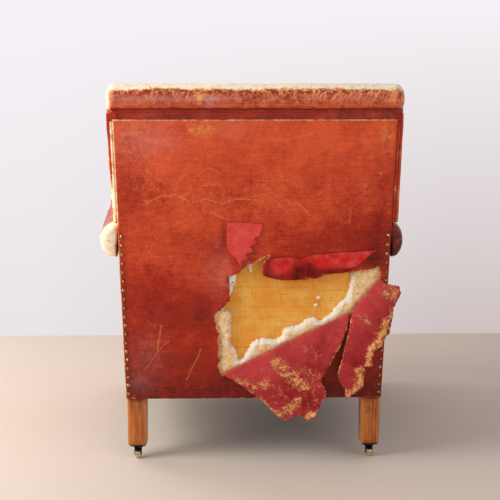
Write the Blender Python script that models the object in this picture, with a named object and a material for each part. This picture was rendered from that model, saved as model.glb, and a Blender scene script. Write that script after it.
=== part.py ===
"""Worn leather club chair with a scroll top, rolled arms, a torn outside back and four castors.

Metres, +Z up. The chair faces +Y, and the floor under the castors is z = 0.
"""
import math

import bmesh
import bpy

# ---- driving dimensions --------------------------------------------------------------
GAP = 0.0003                # clearance between two pieces that touch

RAKE = 0.158                # the back leans this far to the rear for each metre of height
BACK_Y = -0.282             # outer face of the outside back at its lower edge
HEM_Z = 0.147               # lower edge of the covers
PANEL_TOP_Z = 0.780         # upper edge of the outside back, under the scroll
EDGE_X = 0.291              # half width of the outside back at its lower edge
EDGE_FLARE = 0.0188         # growth of that half width for each metre of height
FRONT_X = 0.342             # half width of the body at the front
FRONT_Y = 0.385             # front face of the frame
LEATHER = 0.0025            # thickness of the hide
RIM_INSET = 0.022           # the hide's turned edge lies between these two distances
RIM_OUTSET = 0.010          # from the panel's side edge
WADDING = 0.010             # thickness of the cotton wadding
CANVAS = 0.0012             # thickness of a canvas or burlap sheet

POST_X = 0.042              # rear post, across
POST_Y = 0.040              # rear post, front to back
POST_INSET = 0.0065         # the post's outer face, in from the panel's edge
POST_TOP_Z = 0.7757
LEG_FOOT_Z = 0.0338         # lower end of every leg
LEG_FOOT = 0.043            # a leg is this square at its foot
LEG_HEAD = 0.045            # and this square at the rails
LEG_REAR_Y = -0.272         # rear face of a rear leg
RAIL_Z = (0.151, 0.235)     # seat rails, bottom and top
RAIL_T = 0.025              # seat rails, thickness
TACK_Z = (0.300, 0.335)     # rails that the inside covers are tacked to
TACK_T = 0.018
TOP_RAIL_Z = 0.735          # lower edge of the back's top rail
LEVEL_STEP = 0.030          # a twisting surface has a level at least this often

ROLL_R = 0.043              # radius of an arm's roll
ROLL_REAR_Y = -0.335
ROLL_Z = 0.520              # height of the roll's centre
ROLL_ARC = (200, -84)       # the roll's arc in degrees, from the inside over to the outside
ROLL_STEPS = 13
ROLL_END = ((0.0, 0.80), (0.012, 0.97), (0.030, 1.0))   # how its rear end rounds off
ARM_IN = 0.050              # inside face of the arm, in from the roll's centre
ARM_BROW = 0.026            # the roll starts this far under its centre on the inside
ARM_BAR_Z = (0.470, 0.500)  # arm rail, bottom and top
ARM_BAR_T = 0.033           # arm rail and arm post, thickness
ARM_BAR_ROOM = 0.0024       # how much wider than the rail the stuffing's channel is
FACING_Y = (0.400, 0.405)   # the facing's edge and its crown
FACING_CROWN = (0.88, 0.975)    # width and height of the crown, as shares of the outline's
DECK_Z = 0.345              # top of the seat's stuffing

SCROLL_Y = -0.3525          # centre line of the scroll over the back
SCROLL_Z = 0.818
SCROLL_RY = 0.0525
SCROLL_RZ = 0.042
SCROLL_X = 0.318            # half length of the scroll

SCROLL_SIDES = 16
SCROLL_ENDS = ((0.90, 1.0), (0.955, 0.95), (0.985, 0.80), (1.0, 0.55))

PAD_NARROW = 0.250          # half width of the inside back between the arms
PAD_STEPS = 8
PAD_SQUARE = 0.35           # how square the pad's plan is
PAD_EDGE = 0.004            # thickness of the pad's side edges
PAD_LOWER = ((0.3453, -0.172), (0.42, -0.166), (0.50, -0.176))  # height and front face
PAD_STEP_Y = -0.197         # front face where the pad widens over the arms
PAD_UPPER = ((0.62, 0.014, -0.226), (0.70, 0.019, -0.262), (POST_TOP_Z, 0.012, -0.302))
WRAP_LIFT = 0.004           # the wrapped sides stand this far over the rail and the roll
WRAP_ROUND = 0.020
SHEET_TOP_Z = 0.772
CANVAS_INSET = 0.046
HINGE_BITE = 0.001          # how far joined parts of one hide run into each other
CUSHION_TOP_Z = 0.430
CUSHION_Y = (-0.164, 0.398)
CUSHION_X = 0.288           # widest half width, at the front
CUSHION_CORNER = 0.030
CORNER_CUT = 0.3            # how square its corners stay
# how far the cushion's sides pull in at each share of its height
CUSHION_PROFILE = ((0.0, 0.020), (0.18, 0.005), (0.45, 0.0), (0.78, 0.004), (1.0, 0.024))
STUFFING_INSET = 0.046
STUFFING_REAR_Y = -0.195
SKIRT = (0.045, -0.190, 0.338)      # foot of the seat canvas: inset, rear, front
SKIRT_TOP = (0.052, -0.186, 0.334)  # and its top
WEB_T = 0.0022              # jute webbing, thickness
WEB_W = 0.050
WEB_COUNT = 5               # straps each way
WEB_X = (-0.205, 0.1025)    # first strap's centre and the pitch
WEB_Y = (-0.165, 0.1125)
WEB_ENDS = (-0.272, 0.272, -0.256, 0.378)
DUST_REAR_Y = -0.267        # rear edge of the dust cover, in front of the turned hem
DUST_INSET = 0.004
NOTCH_ROOM = 0.004          # its notches keep this far from a leg
NOTCH_REACH = 0.060         # and run past its edge
SPRING_XS = (-0.17, 0.0, 0.17)
SPRING_YS = (-0.14, 0.07, 0.27)
SPRING_R = 0.036            # end coils of a seat spring
SPRING_WAIST = 0.026        # middle coil
SPRING_WIRE = 0.0020
SPRING_TURNS = 4
SPRING_STEPS = 9            # points in a turn
SPRING_WIRE_SIDES = 5
SPRING_TOP_Z = 0.300

NAIL_R = 0.0048
NAIL_H = 0.0026
NAIL_PITCH = 0.0205
NAIL_INSET = 0.0065         # nail row, in from the panel's edge
NAIL_Z = (0.161, 0.545)     # lowest nail, and the height that the rows reach
NAIL_SIDES = 6
NAIL_SHOULDER = 0.8         # radius half way up the dome, as a share
NAIL_SUNK = 0.0006
HEM_TURN = 0.0135           # height of the turned hem

WHEEL_R = 0.011             # castor wheel, from axle to flat
WHEEL_W = 0.012
WHEEL_SIDES = 20
WHEEL_ROUND = ((-1.0, 0.86), (-0.6, 1.0), (0.6, 1.0), (1.0, 0.86))  # across, and radius
AXLE_R = 0.0020
TRAIL = 0.007               # the axle lies this far behind the swivel
CHEEK_T = 0.0020
CHEEK_X = WHEEL_W / 2 + 0.0005
CHEEK_TOP = 0.007           # half width of a cheek at the crown
CHEEK_EAR = 0.0045          # and round the axle
AXLE_SIDES = 10
CROWN_Z = (0.0245, 0.0300)
PLATE_Z = (0.0303, 0.0335)
PLATE = 0.036               # square plate under the leg
PIN_R = 0.0040              # swivel pin
PIN_ROOM = 0.0005
AXLE_ROOM = 0.00025
CROWN_R = 0.0125
CROWN_SIDES = 16
PIN_SIDES = 12

# Depths behind the outside back's outer face, layer by layer.
WADDING_DEPTH = LEATHER + GAP
BURLAP_DEPTH = WADDING_DEPTH + WADDING + GAP
POST_DEPTH = BURLAP_DEPTH + CANVAS + GAP
POST_FRONT = POST_DEPTH + POST_Y
PAD_DEPTH = POST_FRONT + GAP + CANVAS + GAP

# Torn window in the outside back, as (x, z), round from its upper left corner.
HOLE = [(-0.061, 0.440), (-0.037, 0.444), (-0.015, 0.467), (-0.002, 0.467), (0.032, 0.485),
        (0.018, 0.467), (0.020, 0.443), (0.045, 0.432), (0.120, 0.432), (0.157, 0.442),
        (0.215, 0.448), (0.243, 0.451), (0.274, 0.461), (0.278, 0.431), (0.213, 0.352),
        (-0.071, 0.206), (-0.078, 0.222), (-0.077, 0.266), (-0.086, 0.332), (-0.084, 0.356),
        (-0.055, 0.382), (-0.056, 0.398)]
# The two torn tongues that hang from the window's lower edge, and their fold lines.
TONGUE_FOLD = ((-0.071, 0.206), (0.211, 0.350))
TONGUE = [(-0.069, 0.207), (0.208, 0.3485), (0.209, 0.322), (0.192, 0.279), (0.165, 0.228),
          (0.151, 0.203), (0.152, 0.189), (0.161, 0.173), (0.159, 0.156), (0.140, 0.118),
          (0.119, 0.101), (0.094, 0.115), (0.067, 0.105), (0.046, 0.118), (0.028, 0.139),
          (-0.008, 0.167), (-0.035, 0.188)]
STRIP_FOLD = ((0.217, 0.357), (0.278, 0.431))
STRIP = [(0.277, 0.4295), (0.293, 0.422), (0.319, 0.416), (0.324, 0.400), (0.309, 0.366),
         (0.299, 0.309), (0.286, 0.293), (0.284, 0.280), (0.264, 0.266), (0.262, 0.234),
         (0.249, 0.232), (0.243, 0.183), (0.219, 0.167), (0.203, 0.156), (0.205, 0.177),
         (0.191, 0.195), (0.186, 0.211), (0.196, 0.250), (0.206, 0.296), (0.214, 0.335),
         (0.218, 0.358)]
# What is left of the wadding ends along this window, a little inside or above the hide's.
WADDING_HOLE = [(-0.053, 0.353), (-0.053, 0.277), (-0.037, 0.261), (-0.032, 0.239),
                (-0.008, 0.277), (0.021, 0.291), (0.060, 0.294), (0.066, 0.315),
                (0.109, 0.327), (0.149, 0.333), (0.190, 0.376), (0.215, 0.408),
                (0.215, 0.465), (0.060, 0.500), (-0.075, 0.480), (-0.075, 0.400)]
# Scraps of bright lining that lie on the hide above the window.
SCRAP_LEFT = [(-0.061, 0.562), (0.017, 0.559), (0.015, 0.548), (-0.009, 0.512),
              (-0.029, 0.470), (-0.037, 0.449), (-0.058, 0.445), (-0.059, 0.494)]
SCRAP_RIGHT = [(0.106, 0.476), (0.134, 0.487), (0.265, 0.498), (0.244, 0.484),
               (0.224, 0.458), (0.147, 0.450)]
SCRAP_T = 0.001

FINISHES = {                # colour, roughness, metallic
    "red_leather": ((0.42, 0.055, 0.025), 0.45, 0.0),
    "red_lining": ((0.60, 0.045, 0.040), 0.85, 0.0),
    "polished_wood": ((0.38, 0.105, 0.022), 0.30, 0.0),
    "raw_beech": ((0.52, 0.34, 0.18), 0.70, 0.0),
    "burlap": ((0.62, 0.33, 0.09), 0.90, 0.0),
    "cotton_wadding": ((0.80, 0.66, 0.44), 0.95, 0.0),
    "horsehair": ((0.10, 0.07, 0.05), 0.95, 0.0),
    "webbing": ((0.45, 0.34, 0.20), 0.90, 0.0),
    "black_cloth": ((0.02, 0.02, 0.02), 0.90, 0.0),
    "spring_steel": ((0.30, 0.28, 0.26), 0.45, 1.0),
    "brass": ((0.72, 0.48, 0.18), 0.35, 1.0),
    "black_iron": ((0.03, 0.028, 0.026), 0.50, 0.8),
}


# ---- the chair's slopes ---------------------------------------------------------------
def raked_y(z):
    """The outside back's outer face at height z."""
    return BACK_Y - RAKE * (z - HEM_Z)


def edge_x(z):
    """The outside back's side edge at height z."""
    return EDGE_X + EDGE_FLARE * (z - HEM_Z)


def side_x(y, z):
    """The body's outer side, which widens from the back to the front."""
    share = (y - raked_y(z)) / (FRONT_Y - raked_y(z))
    return edge_x(z) + share * (FRONT_X - edge_x(z))


def roll_x(y):
    """Centre line of the right arm's roll at depth y."""
    return side_x(y, ROLL_Z)


# ---- making solids --------------------------------------------------------------------
def finish_material(name):
    material = bpy.data.materials.get(name)
    if material:
        return material
    colour, roughness, metallic = FINISHES[name]
    material = bpy.data.materials.new(name)
    material.use_nodes = True
    shader = material.node_tree.nodes["Principled BSDF"]
    shader.inputs["Base Color"].default_value = (*colour, 1.0)
    shader.inputs["Roughness"].default_value = roughness
    shader.inputs["Metallic"].default_value = metallic
    return material


def add_object(name, mesh, finish, parent, location=(0, 0, 0)):
    obj = bpy.data.objects.new(name, mesh)
    bpy.context.collection.objects.link(obj)
    obj.parent = parent
    obj.location = location
    if not mesh.materials:
        mesh.materials.append(finish_material(finish))
    return obj


def mesh_from(name, bm, smooth=False):
    bmesh.ops.recalc_face_normals(bm, faces=bm.faces)
    mesh = bpy.data.meshes.new(name)
    bm.to_mesh(mesh)
    bm.free()
    if smooth:
        mesh.shade_smooth()
        mesh.set_sharp_from_angle(angle=math.radians(40))
    return mesh


def loft_mesh(name, rings, smooth=False):
    """A closed skin through rings of equal length, with a flat cap on each end."""
    bm = bmesh.new()
    rows = [[bm.verts.new(point) for point in ring] for ring in rings]
    count = len(rows[0])
    for lower, upper in zip(rows, rows[1:]):
        for i in range(count):
            j = (i + 1) % count
            bm.faces.new((lower[i], lower[j], upper[j], upper[i]))
    bm.faces.new(rows[0])
    bm.faces.new(rows[-1])
    return mesh_from(name, bm, smooth)


def mirrored(rings):
    return [[(-x, y, z) for x, y, z in ring] for ring in rings]


def for_side(rings, side):
    return rings if side > 0 else mirrored(rings)


def raked_rings(outline, depths):
    """An (x, z) outline at given depths behind the outside back's outer face."""
    return [[(x, raked_y(z) + depth, z) for x, z in outline] for depth in depths]


def trapezium(z0, z1, inset):
    """(x, z) outline that keeps this distance from both side edges of the back."""
    return [(-edge_x(z0) + inset, z0), (edge_x(z0) - inset, z0),
            (edge_x(z1) - inset, z1), (-edge_x(z1) + inset, z1)]


def boolean(obj, operation, mesh):
    """Union with, or cut by, a hidden helper object."""
    helper = bpy.data.objects.new(obj.name + "_tool", mesh)
    bpy.context.collection.objects.link(helper)
    helper.parent = obj.parent
    helper.hide_render = True
    helper.display_type = "WIRE"
    modifier = obj.modifiers.new(operation.lower(), "BOOLEAN")
    modifier.operation = operation
    modifier.object = helper
    return helper


# ---- timber frame ---------------------------------------------------------------------
def square_ring(x, y, width, depth, z):
    return [(x - width / 2, y - depth / 2, z), (x + width / 2, y - depth / 2, z),
            (x + width / 2, y + depth / 2, z), (x - width / 2, y + depth / 2, z)]


def post_section(z):
    """A rear post's section at height z: it leans with the back."""
    outer = edge_x(z) - POST_INSET
    rear = raked_y(z) + POST_DEPTH
    return square_ring(outer - POST_X / 2, rear + POST_Y / 2, POST_X, POST_Y, z)


def rear_leg(parent, side, word):
    """Leg and back upright, sawn from one length, with a shoulder under the covers."""
    x = EDGE_X - LEG_HEAD / 2
    y = LEG_REAR_Y + LEG_HEAD / 2
    shoulder = HEM_Z - 2 * GAP
    rings = [square_ring(x, y, LEG_FOOT, LEG_FOOT, LEG_FOOT_Z),
             square_ring(x, y, LEG_HEAD, LEG_HEAD, shoulder),
             post_section(shoulder), post_section(POST_TOP_Z)]
    mesh = loft_mesh("rear_leg_" + word, for_side(rings, side))
    add_object("rear_leg_" + word, mesh, "polished_wood", parent)
    return side * x, y


def front_leg(parent, side, word):
    outer = side_x(FRONT_Y - LEG_HEAD, HEM_Z) - LEATHER - GAP
    x = outer - LEG_HEAD / 2
    y = FRONT_Y - LEG_HEAD / 2
    rings = [square_ring(0, 0, LEG_FOOT, LEG_FOOT, LEG_FOOT_Z),
             square_ring(0, 0, LEG_HEAD, LEG_HEAD, HEM_Z),
             square_ring(0, 0, LEG_HEAD, LEG_HEAD, RAIL_Z[1])]
    mesh = loft_mesh("front_leg_" + word, rings)
    add_object("front_leg_" + word, mesh, "polished_wood", parent, (side * x, y, 0))
    return side * x, y


def raked_bar(name, parent, z_range, depths):
    """A cross rail between the two rear posts."""
    outline = trapezium(*z_range, POST_INSET + POST_X + GAP)
    mesh = loft_mesh(name, raked_rings(outline, depths))
    add_object(name, mesh, "raw_beech", parent)


def side_ring(rear, front, z, outset, thickness):
    """Plan of a piece that runs along one side, inside the cover."""
    return [(side_x(rear, z) - outset, rear, z), (side_x(front, z) - outset, front, z),
            (side_x(front, z) - outset - thickness, front, z),
            (side_x(rear, z) - outset - thickness, rear, z)]


def levels(z0, z1):
    """Heights from z0 to z1, close enough for a surface that twists a little."""
    count = max(1, math.ceil((z1 - z0) / LEVEL_STEP))
    return [z0 + (z1 - z0) * i / count for i in range(count + 1)]


def side_frame(parent, side, word):
    """Seat rail, arm rail, tacking rail and arm post of one side."""
    depth = POST_FRONT + GAP
    outset = LEATHER + 3 * GAP
    leg_rear = FRONT_Y - LEG_HEAD - GAP
    bars = {
        "side_rail_": (RAIL_Z, leg_rear, outset, RAIL_T),
        "arm_rail_": (ARM_BAR_Z, FRONT_Y - GAP, outset, ARM_BAR_T),
        "arm_tack_rail_": (TACK_Z, leg_rear, outset + ARM_BAR_T - TACK_T, TACK_T),
    }
    for name, (z_range, front, inset, thickness) in bars.items():
        rings = [side_ring(raked_y(z) + depth, front, z, inset, thickness)
                 for z in levels(*z_range)]
        mesh = loft_mesh(name + word, for_side(rings, side))
        add_object(name + word, mesh, "raw_beech", parent)
    rings = [side_ring(FRONT_Y - LEG_HEAD, FRONT_Y - GAP, z, outset, ARM_BAR_T)
             for z in (RAIL_Z[1] + GAP, ARM_BAR_Z[0] - GAP)]
    mesh = loft_mesh("arm_post_" + word, for_side(rings, side))
    add_object("arm_post_" + word, mesh, "raw_beech", parent)


def cross_rails(parent):
    raked_bar("rear_rail", parent, RAIL_Z, (POST_DEPTH, POST_DEPTH + RAIL_T))
    raked_bar("back_top_rail", parent, (TOP_RAIL_Z, POST_TOP_Z),
              (POST_DEPTH, POST_DEPTH + RAIL_T))
    raked_bar("back_tack_rail", parent, TACK_Z, (POST_FRONT - RAIL_T, POST_FRONT))
    half = side_x(FRONT_Y - LEG_HEAD, HEM_Z) - LEATHER - 2 * GAP - LEG_HEAD
    y = FRONT_Y - GAP - RAIL_T / 2
    rings = [square_ring(0, y, 2 * half, RAIL_T, z) for z in RAIL_Z]
    add_object("front_rail", loft_mesh("front_rail", rings), "raw_beech", parent)


# ---- seat -----------------------------------------------------------------------------
def seat_plan(inset, y_rear, y_front, z):
    """A four-cornered plan that keeps a distance from both sides of the body."""
    rear = side_x(y_rear, HEM_Z) - inset
    front = side_x(y_front, HEM_Z) - inset
    return [(-rear, y_rear, z), (rear, y_rear, z), (front, y_front, z), (-front, y_front, z)]


def strap_edges(first, pitch):
    """Both edges of each strap, in order."""
    edges = []
    for i in range(WEB_COUNT):
        centre = first + i * pitch
        edges += [centre - WEB_W / 2, centre + WEB_W / 2]
    return edges


def webbing(parent):
    """Interlaced straps across the underside of the rails, as one lattice."""
    top = RAIL_Z[0] - GAP
    x0, x1, y0, y1 = WEB_ENDS
    xs = [x0] + strap_edges(*WEB_X) + [x1]
    ys = [y0] + strap_edges(*WEB_Y) + [y1]
    bm = bmesh.new()
    grid = [[bm.verts.new((x, y, top - WEB_T)) for y in ys] for x in xs]
    for i in range(len(xs) - 1):
        for j in range(len(ys) - 1):
            if i % 2 or j % 2:
                bm.faces.new((grid[i][j], grid[i + 1][j], grid[i + 1][j + 1], grid[i][j + 1]))
    loose = [vert for vert in bm.verts if not vert.link_faces]
    bmesh.ops.delete(bm, geom=loose, context="VERTS")
    raised = bmesh.ops.extrude_face_region(bm, geom=bm.faces[:])
    lifted = [item for item in raised["geom"] if isinstance(item, bmesh.types.BMVert)]
    bmesh.ops.translate(bm, verts=lifted, vec=(0, 0, WEB_T))
    add_object("seat_webbing", mesh_from("seat_webbing", bm), "webbing", parent)
    return top


def spring_mesh(height):
    """A waisted coil spring that stands on z = 0."""
    steps = SPRING_TURNS * SPRING_STEPS
    rings = []
    for i in range(steps + 1):
        share = i / steps
        angle = 2 * math.pi * SPRING_TURNS * share
        radius = SPRING_WAIST + (SPRING_R - SPRING_WAIST) * (2 * share - 1) ** 2
        centre_z = SPRING_WIRE + share * (height - 2 * SPRING_WIRE)
        ring = []
        for k in range(SPRING_WIRE_SIDES):
            turn = 2 * math.pi * k / SPRING_WIRE_SIDES
            out = radius + SPRING_WIRE * math.cos(turn)
            ring.append((out * math.cos(angle), out * math.sin(angle),
                         centre_z + SPRING_WIRE * math.sin(turn)))
        rings.append(ring)
    return loft_mesh("seat_spring", rings, smooth=True)


def seat_springs(parent, z0):
    mesh = spring_mesh(SPRING_TOP_Z - z0)
    number = 1
    for y in SPRING_YS:
        for x in SPRING_XS:
            add_object(f"seat_spring_{number}", mesh, "spring_steel", parent, (x, y, z0))
            number += 1


def seat_canvas(parent):
    """Canvas over the springs: a flat top whose skirt comes down on the rails."""
    foot = RAIL_Z[1] + GAP
    top = SPRING_TOP_Z + GAP + CANVAS
    shell = [seat_plan(*SKIRT, foot), seat_plan(*SKIRT_TOP, top)]
    hollow = []
    for (inset, rear, front), z in ((SKIRT, foot - CANVAS), (SKIRT_TOP, top - CANVAS)):
        hollow.append(seat_plan(inset + CANVAS, rear + CANVAS, front - CANVAS, z))
    obj = add_object("seat_canvas", loft_mesh("seat_canvas", shell), "burlap", parent)
    boolean(obj, "DIFFERENCE", loft_mesh("seat_canvas_hollow", hollow))
    return top


def seat_stuffing(parent, z0):
    rings = [seat_plan(STUFFING_INSET, STUFFING_REAR_Y, FRONT_Y - GAP, z)
             for z in (z0 + GAP, DECK_Z)]
    add_object("seat_stuffing", loft_mesh("seat_stuffing", rings), "horsehair", parent)


def cushion_ring(z, pull):
    """Plan of the seat cushion at height z, its sides pulled in by pull."""
    corner = CUSHION_CORNER + pull
    ring = []
    for sx, sy in ((-1, -1), (1, -1), (1, 1), (-1, 1)):
        edge = CUSHION_Y[0] if sy < 0 else CUSHION_Y[1]
        x = sx * (min(roll_x(edge) - ARM_IN - 2 * GAP, CUSHION_X) - pull)
        y = edge - sy * pull
        along_y = (x, y - sy * corner, z)
        middle = (x - sx * corner * CORNER_CUT, y - sy * corner * CORNER_CUT, z)
        along_x = (x - sx * corner, y, z)
        ring += [along_x, middle, along_y] if sx * sy < 0 else [along_y, middle, along_x]
    return ring


def seat_cushion(parent):
    """Loose cushion between the arms: flat on top and below, with rounded sides."""
    z0 = DECK_Z + GAP
    rings = [cushion_ring(z0 + share * (CUSHION_TOP_Z - z0), pull)
             for share, pull in CUSHION_PROFILE]
    mesh = loft_mesh("seat_cushion", rings, smooth=True)
    add_object("seat_cushion", mesh, "red_leather", parent)


def front_border(parent):
    """Hide over the front rail, between the two arm facings."""
    half = roll_x(FRONT_Y) - ARM_IN - GAP
    y0 = FRONT_Y + GAP
    rings = [square_ring(0, y0 + LEATHER / 2, 2 * half, LEATHER, z)
             for z in (HEM_Z, DECK_Z)]
    add_object("front_border", loft_mesh("front_border", rings), "red_leather", parent)


def dust_cover(parent, z1, feet):
    """Black cloth under the seat, notched round the four legs."""
    rings = [seat_plan(DUST_INSET, DUST_REAR_Y, FRONT_Y - GAP, z) for z in (z1 - CANVAS, z1)]
    obj = add_object("dust_cover", loft_mesh("dust_cover", rings), "black_cloth", parent)
    for x, y in feet.values():
        mid_x = x + math.copysign(NOTCH_REACH / 2 - LEG_HEAD / 2 - NOTCH_ROOM, x)
        mid_y = y + math.copysign(NOTCH_REACH / 2 - LEG_HEAD / 2 - NOTCH_ROOM, y)
        rings = [square_ring(mid_x, mid_y, NOTCH_REACH, NOTCH_REACH, z)
                 for z in (z1 - 2 * CANVAS, z1 + CANVAS)]
        boolean(obj, "DIFFERENCE", loft_mesh("dust_cover_notch", rings))


# ---- arms -----------------------------------------------------------------------------
def roll_arc(cx, radius):
    """The roll's outline, from the inside over the top to the outside, as (x, z)."""
    first, last = (math.radians(angle) for angle in ROLL_ARC)
    points = []
    for i in range(ROLL_STEPS + 1):
        angle = first + (last - first) * i / ROLL_STEPS
        points.append((cx + radius * math.cos(angle), ROLL_Z + radius * math.sin(angle)))
    return points


def arm_section(y, radius=ROLL_R):
    """Section of the right arm's stuffing: a roll with the inside arm hanging from it."""
    cx = roll_x(y)
    bar_in = cx - LEATHER - ARM_BAR_T - ARM_BAR_ROOM
    bar_top = ARM_BAR_Z[1] + GAP
    foot = DECK_Z + GAP
    points = [(cx - ARM_IN, foot), (cx - ARM_IN, ROLL_Z - ARM_BROW)] + roll_arc(cx, radius)
    points += [(cx - LEATHER, ROLL_Z - ROLL_R + GAP), (cx - LEATHER, bar_top),
               (bar_in, bar_top), (bar_in, foot)]
    return [(x, y, z) for x, z in points]


def back_zone():
    """All that the back takes up: the arms are cut away round it."""
    rings = []
    for z in (TACK_Z[0], TOP_RAIL_Z):
        half = edge_x(z) + GAP
        front = raked_y(z) + POST_FRONT + GAP
        rings.append([(-half, 2 * BACK_Y, z), (half, 2 * BACK_Y, z), (half, front, z),
                      (-half, front, z)])
    return loft_mesh("back_zone", rings)


def arm(parent, side, word):
    rings = [arm_section(ROLL_REAR_Y + step, size * ROLL_R) for step, size in ROLL_END]
    rings.append(arm_section(FRONT_Y - GAP))
    mesh = loft_mesh("arm_pad_" + word, for_side(rings, side), smooth=True)
    obj = add_object("arm_pad_" + word, mesh, "red_leather", parent)
    boolean(obj, "DIFFERENCE", back_zone())


def outside_arm(parent, side, word):
    """Hide over the outside of the arm, from the outside back to the facing."""
    rings = []
    for z in levels(HEM_Z, ARM_BAR_Z[0] + LEATHER):
        rings.append(side_ring(raked_y(z) + LEATHER + GAP, FRONT_Y, z, 0.0, LEATHER))
    mesh = loft_mesh("outside_arm_" + word, for_side(rings, side))
    add_object("outside_arm_" + word, mesh, "red_leather", parent)


def arm_facing(parent, side, word):
    """Scroll-shaped front of the arm, down to the hem."""
    cx = roll_x(FRONT_Y)
    outline = [(cx - ARM_IN, HEM_Z), (cx - ARM_IN, ROLL_Z - ARM_BROW)] + roll_arc(cx, ROLL_R)
    outline += [(FRONT_X, ROLL_Z - ROLL_R - 2 * LEATHER), (FRONT_X, HEM_Z)]
    rings = [[(x, y, z) for x, z in outline] for y in (FRONT_Y + GAP, FACING_Y[0])]
    mid_x = cx - ARM_IN / 4
    mid_z = (HEM_Z + ROLL_Z + ROLL_R) / 2
    narrow, low = FACING_CROWN
    rings.append([(mid_x + narrow * (x - mid_x), FACING_Y[1], mid_z + low * (z - mid_z))
                  for x, z in outline])
    mesh = loft_mesh("arm_facing_" + word, for_side(rings, side))
    add_object("arm_facing_" + word, mesh, "red_leather", parent)


# ---- back -----------------------------------------------------------------------------
def pad_ring(z, half, front):
    """Plan of the inside back's pad at height z, crowned towards the front."""
    rear = raked_y(z) + PAD_DEPTH
    swell = front - rear - PAD_EDGE
    ring = [(-half, rear, z)]
    for i in range(PAD_STEPS + 1):
        angle = math.pi * i / PAD_STEPS
        across = math.copysign(abs(math.cos(angle)) ** PAD_SQUARE, math.cos(angle))
        ring.append((-half * across, rear + PAD_EDGE + swell * math.sin(angle) ** PAD_SQUARE, z))
    ring.append((half, rear, z))
    return ring


def return_ring(z, bulge, depth):
    """Plan of the part that wraps a rear post, from the post's front to the outside back."""
    inner = edge_x(z) - POST_INSET + GAP
    outer = edge_x(z) + bulge
    rear = raked_y(z) + WADDING_DEPTH
    front = raked_y(z) + depth
    return [(inner, rear, z), (edge_x(z), rear, z), (outer, rear + WRAP_ROUND, z),
            (outer, front, z), (inner, front, z)]


def inside_back(parent):
    """Stuffed inside back: narrow between the arms, wide above them, wrapped round the posts."""
    step_z = ROLL_Z + ROLL_R + WRAP_LIFT
    rings = [pad_ring(z, PAD_NARROW, front) for z, front in PAD_LOWER]
    rings.append(pad_ring(step_z - GAP, PAD_NARROW, PAD_STEP_Y))
    rings.append(pad_ring(step_z, edge_x(step_z) + WRAP_LIFT, PAD_STEP_Y))
    rings += [pad_ring(z, edge_x(z) + bulge, front) for z, bulge, front in PAD_UPPER]
    mesh = loft_mesh("inside_back", rings, smooth=True)
    obj = add_object("inside_back", mesh, "red_leather", parent)
    shallow = POST_FRONT - GAP
    deep = PAD_DEPTH + PAD_EDGE
    wrap = [return_ring(ARM_BAR_Z[0] + WRAP_LIFT, 0.0, shallow),
            return_ring(step_z - GAP, 0.0, shallow), return_ring(step_z + GAP, WRAP_LIFT, deep)]
    wrap += [return_ring(z - GAP, bulge - GAP, deep) for z, bulge, front in PAD_UPPER]
    for side in (1, -1):
        boolean(obj, "UNION", loft_mesh("inside_back_return", for_side(wrap, side)))


def top_scroll(parent):
    """Stuffed scroll over the top of the back, round at its ends."""
    flat = math.cos(math.pi / SCROLL_SIDES)
    stations = [(-share, size) for share, size in reversed(SCROLL_ENDS)] + list(SCROLL_ENDS)
    rings = []
    for share, size in stations:
        ring = []
        for k in range(SCROLL_SIDES):
            angle = 2 * math.pi * (k + 0.5) / SCROLL_SIDES
            ring.append((share * SCROLL_X, SCROLL_Y + size * SCROLL_RY * math.cos(angle),
                         SCROLL_Z + size * SCROLL_RZ * math.sin(angle) / flat))
        rings.append(ring)
    mesh = loft_mesh("top_scroll", rings, smooth=True)
    add_object("top_scroll", mesh, "red_leather", parent)


def back_sheets(parent):
    """Wadding and burlap behind the outside back, and canvas behind the inside back."""
    field = trapezium(HEM_Z + HEM_TURN + GAP, SHEET_TOP_Z, RIM_INSET + GAP)
    rings = raked_rings(field, (WADDING_DEPTH, WADDING_DEPTH + WADDING))
    wadding = add_object("back_wadding", loft_mesh("back_wadding", rings), "cotton_wadding", parent)
    window = raked_rings(WADDING_HOLE, (0.0, 2 * WADDING))
    boolean(wadding, "DIFFERENCE", loft_mesh("wadding_window", window))
    rings = raked_rings(field, (BURLAP_DEPTH, BURLAP_DEPTH + CANVAS))
    add_object("back_burlap", loft_mesh("back_burlap", rings), "burlap", parent)
    depth = POST_FRONT + GAP
    rings = raked_rings(trapezium(TACK_Z[0], SHEET_TOP_Z, CANVAS_INSET), (depth, depth + CANVAS))
    add_object("back_canvas", loft_mesh("back_canvas", rings), "burlap", parent)


def tongue_rings(outline, fold):
    """A torn tongue that hangs straight down from its fold line."""
    (x0, z0), (x1, z1) = fold
    rings = []
    for depth in (-LEATHER, HINGE_BITE):
        ring = []
        for x, z in outline:
            fold_z = z0 + (z1 - z0) * (x - x0) / (x1 - x0)
            ring.append((x, raked_y(fold_z) + depth, z))
        rings.append(ring)
    return rings


def turned_edge(side):
    """The hide's side edge, folded under and lying on the post."""
    top = PANEL_TOP_Z - 2 * LEATHER
    outline = [(side * (edge_x(z) - inset), z) for z, inset in
               ((HEM_Z, RIM_INSET), (HEM_Z, RIM_OUTSET), (top, RIM_OUTSET), (top, RIM_INSET))]
    return raked_rings(outline, (LEATHER - HINGE_BITE, POST_DEPTH - GAP))


def turned_hem():
    """The hide's lower edge, folded under and lying on the rear rail."""
    outline = trapezium(HEM_Z, HEM_Z + HEM_TURN, RIM_INSET - HINGE_BITE)
    return raked_rings(outline, (LEATHER - HINGE_BITE, POST_DEPTH - GAP))


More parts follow.
